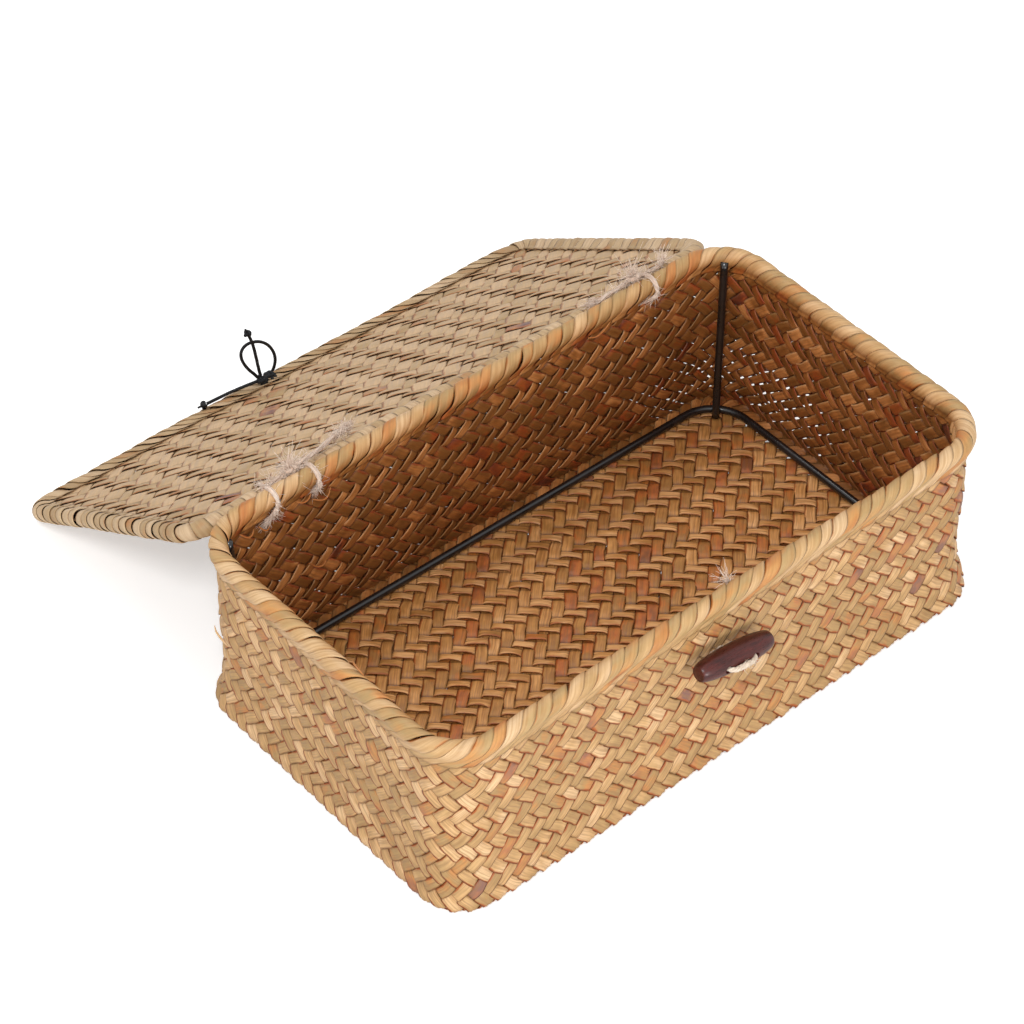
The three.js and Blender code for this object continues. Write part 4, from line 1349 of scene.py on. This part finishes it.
left_knot = tie("left", [-0.12597, -0.10098],
                [(-0.1265, 0), (-0.118, 0.0006), (-0.109, 0.0014), (-0.104, 0.001), (-0.100, 0)],
                -0.10897, 81)
tie("right", [0.11747],
    [(0.0865, -0.0004), (0.095, 0.0008), (0.105, 0.0012), (0.112, 0.0014), (0.121, 0.001),
     (0.1315, 0.0002)], 0.11203, 82)

# %% The ties' long ends
random = np.random.default_rng(83)
long_end = smooth_path([
    left_knot, tie_point(-0.100, 0.0058, 0.0072), tie_point(-0.091, 0.0078, 0.0072),
    tie_point(-0.081, 0.0112, 0.0078), tie_point(-0.072, 0.0150, 0.0080),
    tie_point(-0.0665, 0.0172, 0.0076)], 50)
fat_way = unit(long_end[-1] - long_end[-4])
fat_path = long_end[-12:] + np.array([0, 0, 0.0001])
long_piece = strand_piece("tie_left_long_end", [
    tube(long_end, 0.0007, 8, (0, 0, 1)), bundle(long_end, 0.0011, 34, random),
    fuzz(long_end, 0.0011, 120, 0.005, random),
    bundle(fat_path, 0.0019, 40, random), fuzz(fat_path, 0.0018, 90, 0.005, random),
    brush(long_end[-2], fat_way, 0.0065, 110, 0.35, random, 0.0011)], JUTE, None)
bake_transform(long_piece)
right_end = tie_point(0.1315, 0.0055, 0.0055)
left_end = tie_point(0.0865, 0.0055, 0.0052)
strand_piece("tie_right_long_end", [
    brush(right_end, (1, 0.5, 0.9), 0.009, 70, 0.3, random, 0.0008),
    brush(left_end, (-1, 0.1, -0.1), 0.008, 90, 0.3, random, 0.001)], JUTE, "ties")

# %% The ties' ends inside the wall
wall_inner = RIM_HALF_WIDTH - WEAVE_THICKNESS / 2


def inside_end(x, low_x, low_z, count, random):
    """A strand that comes down off the rim inside the wall, and frays."""
    top = np.array([x, wall_inner - 0.0052, RIM_HEIGHT - 0.0015])
    low = np.array([low_x, wall_inner - 0.0014, low_z])
    path = smooth_path([top, (top * 0.55 + low * 0.45) - (0, 0.0006, 0), low], 24)
    way = unit(path[-1] - path[-4])
    return [tube(path, 0.0005, 8, (0, 1, 0)), bundle(path, 0.0010, 30, random),
            fuzz(path, 0.001, 60, 0.004, random),
            brush(path[-4], way, 0.007, count, 0.28, random, 0.0007)]


strand_piece("tie_ends_inside", [
    *inside_end(-0.1275, -0.1312, 0.0955, 110, random),
    *inside_end(-0.1012, -0.1020, 0.0985, 90, random),
    *inside_end(0.1165, 0.1135, 0.1010, 80, random)], JUTE, "box")

# %% [markdown]
# The toggle
#
# The toggle is a turned barrel of dark, glossy wood. Its half section is worked out first and
# spun about its long axis, and two flared holes are then cut through with the Boolean
# modifier, which is applied so that the finished mesh holds them. It hangs a little tilted.

# %% The barrel
TOGGLE_TILT = math.radians(7.2)
TOGGLE_HALF_LENGTH, TOGGLE_RADIUS, TOGGLE_END_RADIUS = 0.023, 0.0067, 0.0034
HOLE_PLACE, HOLE_RADIUS, HOLE_FLARE = 0.0085, 0.0018, 0.0007
toggle_middle = joints["toggle_swivel"]


def spun(along, radius, sides, axis):
    """A profile spun about one of the axes: points and closed faces, with a pole at each end."""
    angle = np.arange(sides) / sides * 2 * math.pi
    rings = np.stack(np.broadcast_arrays(along[1:-1, None], radius[1:-1, None] * np.cos(angle),
                                         radius[1:-1, None] * np.sin(angle)), -1).reshape(-1, 3)
    points = np.vstack([[along[0], 0, 0], rings, [along[-1], 0, 0]])
    number = 1 + np.arange(len(rings)).reshape(-1, sides)
    first = np.stack([np.zeros(sides, int), number[0], np.roll(number[0], -1)], -1)
    last = np.stack([np.full(sides, len(points) - 1), np.roll(number[-1], -1), number[-1]], -1)
    return np.roll(points, axis, 1), [ring_quads(number), first, last]


def to_toggle(points):
    """Points about the barrel's own middle, tilted and moved to its place."""
    x, y, z = points.T
    c, s = math.cos(TOGGLE_TILT), math.sin(TOGGLE_TILT)
    return np.stack([x * c + z * s, y, -x * s + z * c], -1) + toggle_middle


share = 0.5 - 0.5 * np.cos(np.linspace(0.12, math.pi - 0.12, 46))
swell = np.sqrt(1 - (2 * share - 1) ** 2)
body_radius = TOGGLE_END_RADIUS + (TOGGLE_RADIUS - TOGGLE_END_RADIUS) * swell
body_along = (2 * share - 1) * TOGGLE_HALF_LENGTH
end_radius = np.array([0, 0.0012, 0.0025, 0.0032])
end_along = -TOGGLE_HALF_LENGTH + np.array([0, 0.00002, 0.0001, 0.00035]) - 0.00002
barrel_along = np.concatenate([end_along, body_along, -end_along[::-1]])
barrel_radius = np.concatenate([end_radius, body_radius, end_radius[::-1]])
barrel_points, barrel_faces = spun(barrel_along, barrel_radius, 64, 0)


def wood_material():
    """Dark red-brown wood under gloss varnish: long grain and fine pores."""
    material, tree, shader = new_material("dark_wood")
    mapping = tree.nodes.new("ShaderNodeMapping")
    mapping.vector_type = "TEXTURE"
    mapping.inputs["Location"].default_value = tuple(toggle_middle)
    mapping.inputs["Rotation"].default_value = (0, TOGGLE_TILT, 0)
    mapping.inputs["Scale"].default_value = (1, 0.12, 0.12)
    tree.links.new(tree.nodes.new("ShaderNodeTexCoord").outputs["Object"], mapping.inputs["Vector"])
    place = mapping.outputs[0]
    grain = noise_node(tree, place, 70.0, 4.0, 0.65)
    pores = noise_node(tree, place, 380.0, 2.0)
    colour = mix_colour(tree, remap(tree, grain, 0.35, 0.65),
                        (0.034, 0.0054, 0.0044), (0.098, 0.0155, 0.011))
    darker = mix_colour(tree, remap(tree, pores, 0.55, 0.7, 0, 0.6), colour, (0.016, 0.004, 0.004))
    tree.links.new(darker, shader.inputs["Base Color"])
    tree.links.new(remap(tree, pores, 0.35, 0.65, 0.26, 0.42), shader.inputs["Roughness"])
    shader.inputs["Coat Weight"].default_value = 0.2
    shader.inputs["Coat Roughness"].default_value = 0.3
    shader.inputs["Specular IOR Level"].default_value = 0.35
    relief = math_node(tree, "ADD", grain, times(tree, pores, 0.5))
    bump(tree, shader, relief, 0.35, 0.0003)
    return material


DARK_WOOD = wood_material()
barrel = make_mesh("toggle_barrel", to_toggle(barrel_points), outward(barrel_points, barrel_faces),
                   np.zeros((len(barrel_points), 2)), None, DARK_WOOD)
depth = np.array([-1.3, -1.2, -0.98, -0.9, -0.7, 0, 0.7, 0.9, 0.98, 1.2, 1.3]) * TOGGLE_RADIUS
flare = HOLE_RADIUS + HOLE_FLARE * np.clip((np.abs(depth) / TOGGLE_RADIUS - 0.7) / 0.28, 0, 1) ** 2
cutters = []
for place in (-HOLE_PLACE, HOLE_PLACE):
    points, faces = spun(depth, np.where(np.abs(depth) > 1.25 * TOGGLE_RADIUS, 0, flare), 40, 1)
    points = to_toggle(points + (place, 0, 0))
    cutter = make_mesh("hole_cutter", points, outward(points - points.mean(0), faces),
                       np.zeros((len(points), 2)))
    cut = barrel.modifiers.new("hole", "BOOLEAN")
    cut.object, cut.operation, cut.solver = cutter, "DIFFERENCE", "EXACT"
    cutters.append(cutter)
finished = barrel.evaluated_get(bpy.context.evaluated_depsgraph_get())
cut_mesh = bpy.data.meshes.new_from_object(finished)
barrel.modifiers.clear()
barrel.data = cut_mesh
barrel.data.set_sharp_from_angle(angle=math.radians(40))
for cutter in cutters:
    bpy.data.objects.remove(cutter)
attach(barrel, "toggle")
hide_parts("toggle")
print("barrel", len(barrel.data.polygons), "faces")

# %% [markdown]
# The toggle's twine
#
# Cream twine comes through the wall with a knot inside, goes out through one hole of the
# toggle, across its front and back through the other.

# %% Stitch, stem and knot
random = np.random.default_rng(91)
STITCH_DROP = 0.0019
start, behind, front = TOGGLE_RADIUS + 0.0021, TOGGLE_RADIUS + 0.00145, TOGGLE_RADIUS + 0.0012
half_stitch = [
    (0.0011, start, -STITCH_DROP), (HOLE_PLACE / 3, behind, -STITCH_DROP),
    (HOLE_PLACE * 2 / 3, behind, -0.0014), (HOLE_PLACE - 0.00024, TOGGLE_RADIUS, -0.0004),
    (HOLE_PLACE, TOGGLE_RADIUS / 2, 0), (HOLE_PLACE, -TOGGLE_RADIUS / 2, 0),
    (HOLE_PLACE - 0.0009, -TOGGLE_RADIUS + 0.0003, 0), (HOLE_PLACE / 2, -front, 0)]
stitch_points = half_stitch + [(-x, y, z) for x, y, z in half_stitch[::-1]]
stitch = smooth_path(to_toggle(np.array(stitch_points)), 110)
crossing_part = stitch[48:62]
strand_piece("toggle_stitch", [
    *plies(stitch, 0.0013, (0.1, 0.2, 1)), fuzz(crossing_part, 0.0012, 70, 0.0035, random),
    *plies(crossing_part + np.array([0, 0, 0.0009]), 0.0009, (0.1, 0.2, 1)),
    brush(stitch[44], (0.4, -1, 0.5), 0.0035, 16, 0.5, random)],
             CREAM, "toggle", ["toggle_twine"])
stem_low, stem_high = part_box("toggle_stem_knot")
knot_middle = np.array([toggle_middle[0], stem_high.y - 0.0032, toggle_middle[2]])
stem = np.stack([np.full(20, toggle_middle[0]), np.linspace(stem_low.y, knot_middle[1], 20),
                 np.full(20, toggle_middle[2])], -1)
stem_knot = trefoil(knot_middle, 0.00072, (0.1, 1, 0.2))
strand_piece("toggle_stem", [
    *plies(stem - (0, 0, STITCH_DROP), 0.0013, (0, 0, 1)),
    tube(stem_knot, 0.00095, 10, (0.3, 0.2, 1), True),
    brush(knot_middle, (0.5, 0.8, -1), 0.007, 30, 0.25, random),
    brush(knot_middle, (-0.6, 0.9, -0.6), 0.006, 30, 0.25, random)], CREAM, "box",
             ["toggle_stem_knot"])

# %% [markdown]
# Loose slivers
#
# Hand work leaves loose ends: curled slivers of leaf under the rim, a frayed tuft on the front
# rim, and a split end at the foot. Each is a thin tapered tube through three or four points.

# %% Slivers of leaf
def slivers(name, paths, radius, tone, inner=0.0):
    """Tapered, flattened curls of leaf through points given in millimetres; inner is their share of
    the rim's painted shade inside the box.
    """
    groups = []
    for points in paths:
        path = smooth_path(np.array(points) / 1000, 14)
        taper = radius * (0.25 + 0.75 * np.sin(np.linspace(0.35, math.pi - 0.15, 14)))
        groups.append(tube(path, taper, 8, (0.3, 0.5, 0.9)))
    points, faces, uv = merged(groups)
    values = {"tone": np.full(len(points), tone), "crossing": np.ones(len(points)),
              "inner": np.full(len(points), inner)}
    piece = make_mesh(name, points, faces, uv, values, RIM_LEAF)
    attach(piece, "box")


slivers("orange_slivers", [
    [(-148, 91.5, 97.5), (-144.5, 90.6, 93.8), (-141, 91.2, 93.2), (-139, 92.6, 95)],
    [(-137, 91.3, 96), (-134, 90.4, 92.2), (-131, 91.4, 91.2), (-129, 92.8, 92.5)],
    [(-114, 91, 98.6), (-111, 90.3, 96.6), (-107, 91, 96), (-104, 92.6, 97.4)],
    [(-104, 91.6, 93.5), (-99, 90.4, 91), (-95, 91, 91.4), (-92, 92.8, 94)],
    [(72, 91, 98.5), (77, 90.2, 97.2), (83, 90.6, 98.4), (88, 91.4, 101)],
    [(-166.5, -29, 109), (-167.4, -26, 111.6), (-167.2, -22.5, 112.4), (-165.8, -19.5, 111.2)],
    [(-108, 92.4, 52), (-104, 91.6, 47.5), (-100, 91.7, 46), (-97, 92.8, 47)],
    [(165.5, -78, 101.5), (163.6, -82.5, 99.5), (161, -86, 97.5), (157.5, -88, 96)]], 0.0005, 0.86)
slivers("torn_corner_ends", [
    [(167, -78, 103.5), (163.4, -79.5, 101), (160.4, -82.4, 96), (159.4, -84.6, 90.5)],
    [(166.8, -80, 104), (163, -81.8, 101), (160, -84.6, 95.5), (158.6, -86, 89)],
    [(166, -82.5, 104), (162, -84, 101), (158.4, -86.4, 95), (156.6, -87, 91)],
    [(166.5, -76, 104), (164.2, -77, 100.6), (162.6, -79, 96.6), (162.6, -81.6, 93)]],
        0.0013, 0.3, 0.6)
slivers("pale_slivers", [
    [(-172.6, 72, 52), (-173.4, 76, 54.4), (-173.6, 80, 56.6), (-172.4, 83, 58)],
    [(-90, -98.9, 5), (-86, -99.8, 3.2), (-81, -100, 1.8), (-76.5, -99.4, 1.2)],
    [(146, -99, 7), (149, -100, 4.2), (152, -99.8, 3), (155, -98.8, 3)]], 0.0006, 0.02)

# %% The tuft on the front rim
random = np.random.default_rng(95)
tuft = np.array([0.002, -0.0905, 0.1085])
strand_piece("rim_tuft", [
    brush(tuft, (-1, 0.3, 0.35), 0.010, 13, 0.35, random),
    brush(tuft, (0.9, 0.2, 0.5), 0.009, 13, 0.4, random),
    brush(tuft, (0.1, 0.8, 0.4), 0.007, 8, 0.5, random)], JUTE, "box")

# %% [markdown]
# Floor, light and the end
#
# A pale floor and soft light show the box plainly. Most of the light comes low from the front
# and the left, so the outside is bright and the front wall keeps it off the inside. The floor
# and the world look white to the camera, and light the box at a plain level.

# %% Floor and world
FLOOR_GLOW = 0.45


def stage_material():
    """Pale floor: plain diffuse keeps the box's shadow, and a glow that only the camera sees
    lifts the rest to white."""
    material, tree, shader = new_material("pale_floor")
    shader.inputs["Emission Color"].default_value = (1, 1, 1, 1)
    rays = tree.nodes.new("ShaderNodeLightPath")
    tree.links.new(times(tree, rays.outputs["Is Camera Ray"], FLOOR_GLOW),
                   shader.inputs["Emission Strength"])
    shader.inputs["Base Color"].default_value = (0.9, 0.9, 0.9, 1)
    shader.inputs["Roughness"].default_value = 0.9
    shader.inputs["Specular IOR Level"].default_value = 0.0
    return material


GROUND_REACH, GROUND_Z = 6, -0.0003
ground_corners = np.array([(sx * GROUND_REACH, sy * GROUND_REACH, GROUND_Z)
                           for sx, sy in ((-1, -1), (1, -1), (1, 1), (-1, 1))])
ground = make_mesh("ground", ground_corners, [np.array([[0, 1, 2, 3]])], np.zeros((4, 2)), None,
                   stage_material())

WORLD_LEVEL = 0.53
world = bpy.data.worlds.new("studio")
bpy.context.scene.world = world
world.use_nodes = True
tree = world.node_tree
plain = tree.nodes["Background"]
plain.inputs["Strength"].default_value = WORLD_LEVEL
plain.inputs["Color"].default_value = (1, 1, 1, 1)
seen = tree.nodes.new("ShaderNodeBackground")
seen.inputs["Color"].default_value = (1, 1, 1, 1)
rays = tree.nodes.new("ShaderNodeLightPath")
mirrored = math_node(tree, "MAXIMUM", rays.outputs["Is Glossy Ray"],
                     rays.outputs["Is Transmission Ray"])
shows = math_node(tree, "MAXIMUM", rays.outputs["Is Camera Ray"], mirrored)
choose = tree.nodes.new("ShaderNodeMixShader")
tree.links.new(shows, choose.inputs[0])
tree.links.new(plain.outputs[0], choose.inputs[1])
tree.links.new(seen.outputs[0], choose.inputs[2])
tree.links.new(choose.outputs[0], tree.nodes["World Output"].inputs["Surface"])

# %% Lamps
def soft_lamp(name, azimuth, elevation, distance, size, watts):
    """A square area lamp that faces the middle of the box."""
    lamp = bpy.data.objects.new(name, bpy.data.lights.new(name, "AREA"))
    bpy.context.scene.collection.objects.link(lamp)
    a, e = math.radians(azimuth), math.radians(elevation)
    away = Vector((math.sin(a) * math.cos(e), -math.cos(a) * math.cos(e), math.sin(e)))
    lamp.location = Vector((0, 0.05, 0.05)) + away * distance
    lamp.rotation_euler = away.to_track_quat("Z", "Y").to_euler()
    lamp.data.size = size
    lamp.data.energy = watts


soft_lamp("key_lamp", -46, 52, 1.8, 0.3, 12)
soft_lamp("front_low_lamp", -8, 9, 1.6, 0.5, 9)
soft_lamp("left_low_lamp", -84, 10, 1.6, 0.5, 2.4)
soft_lamp("top_lamp", 172, 70, 1.8, 0.5, 7)
bpy.context.scene.view_settings.view_transform = "Standard"
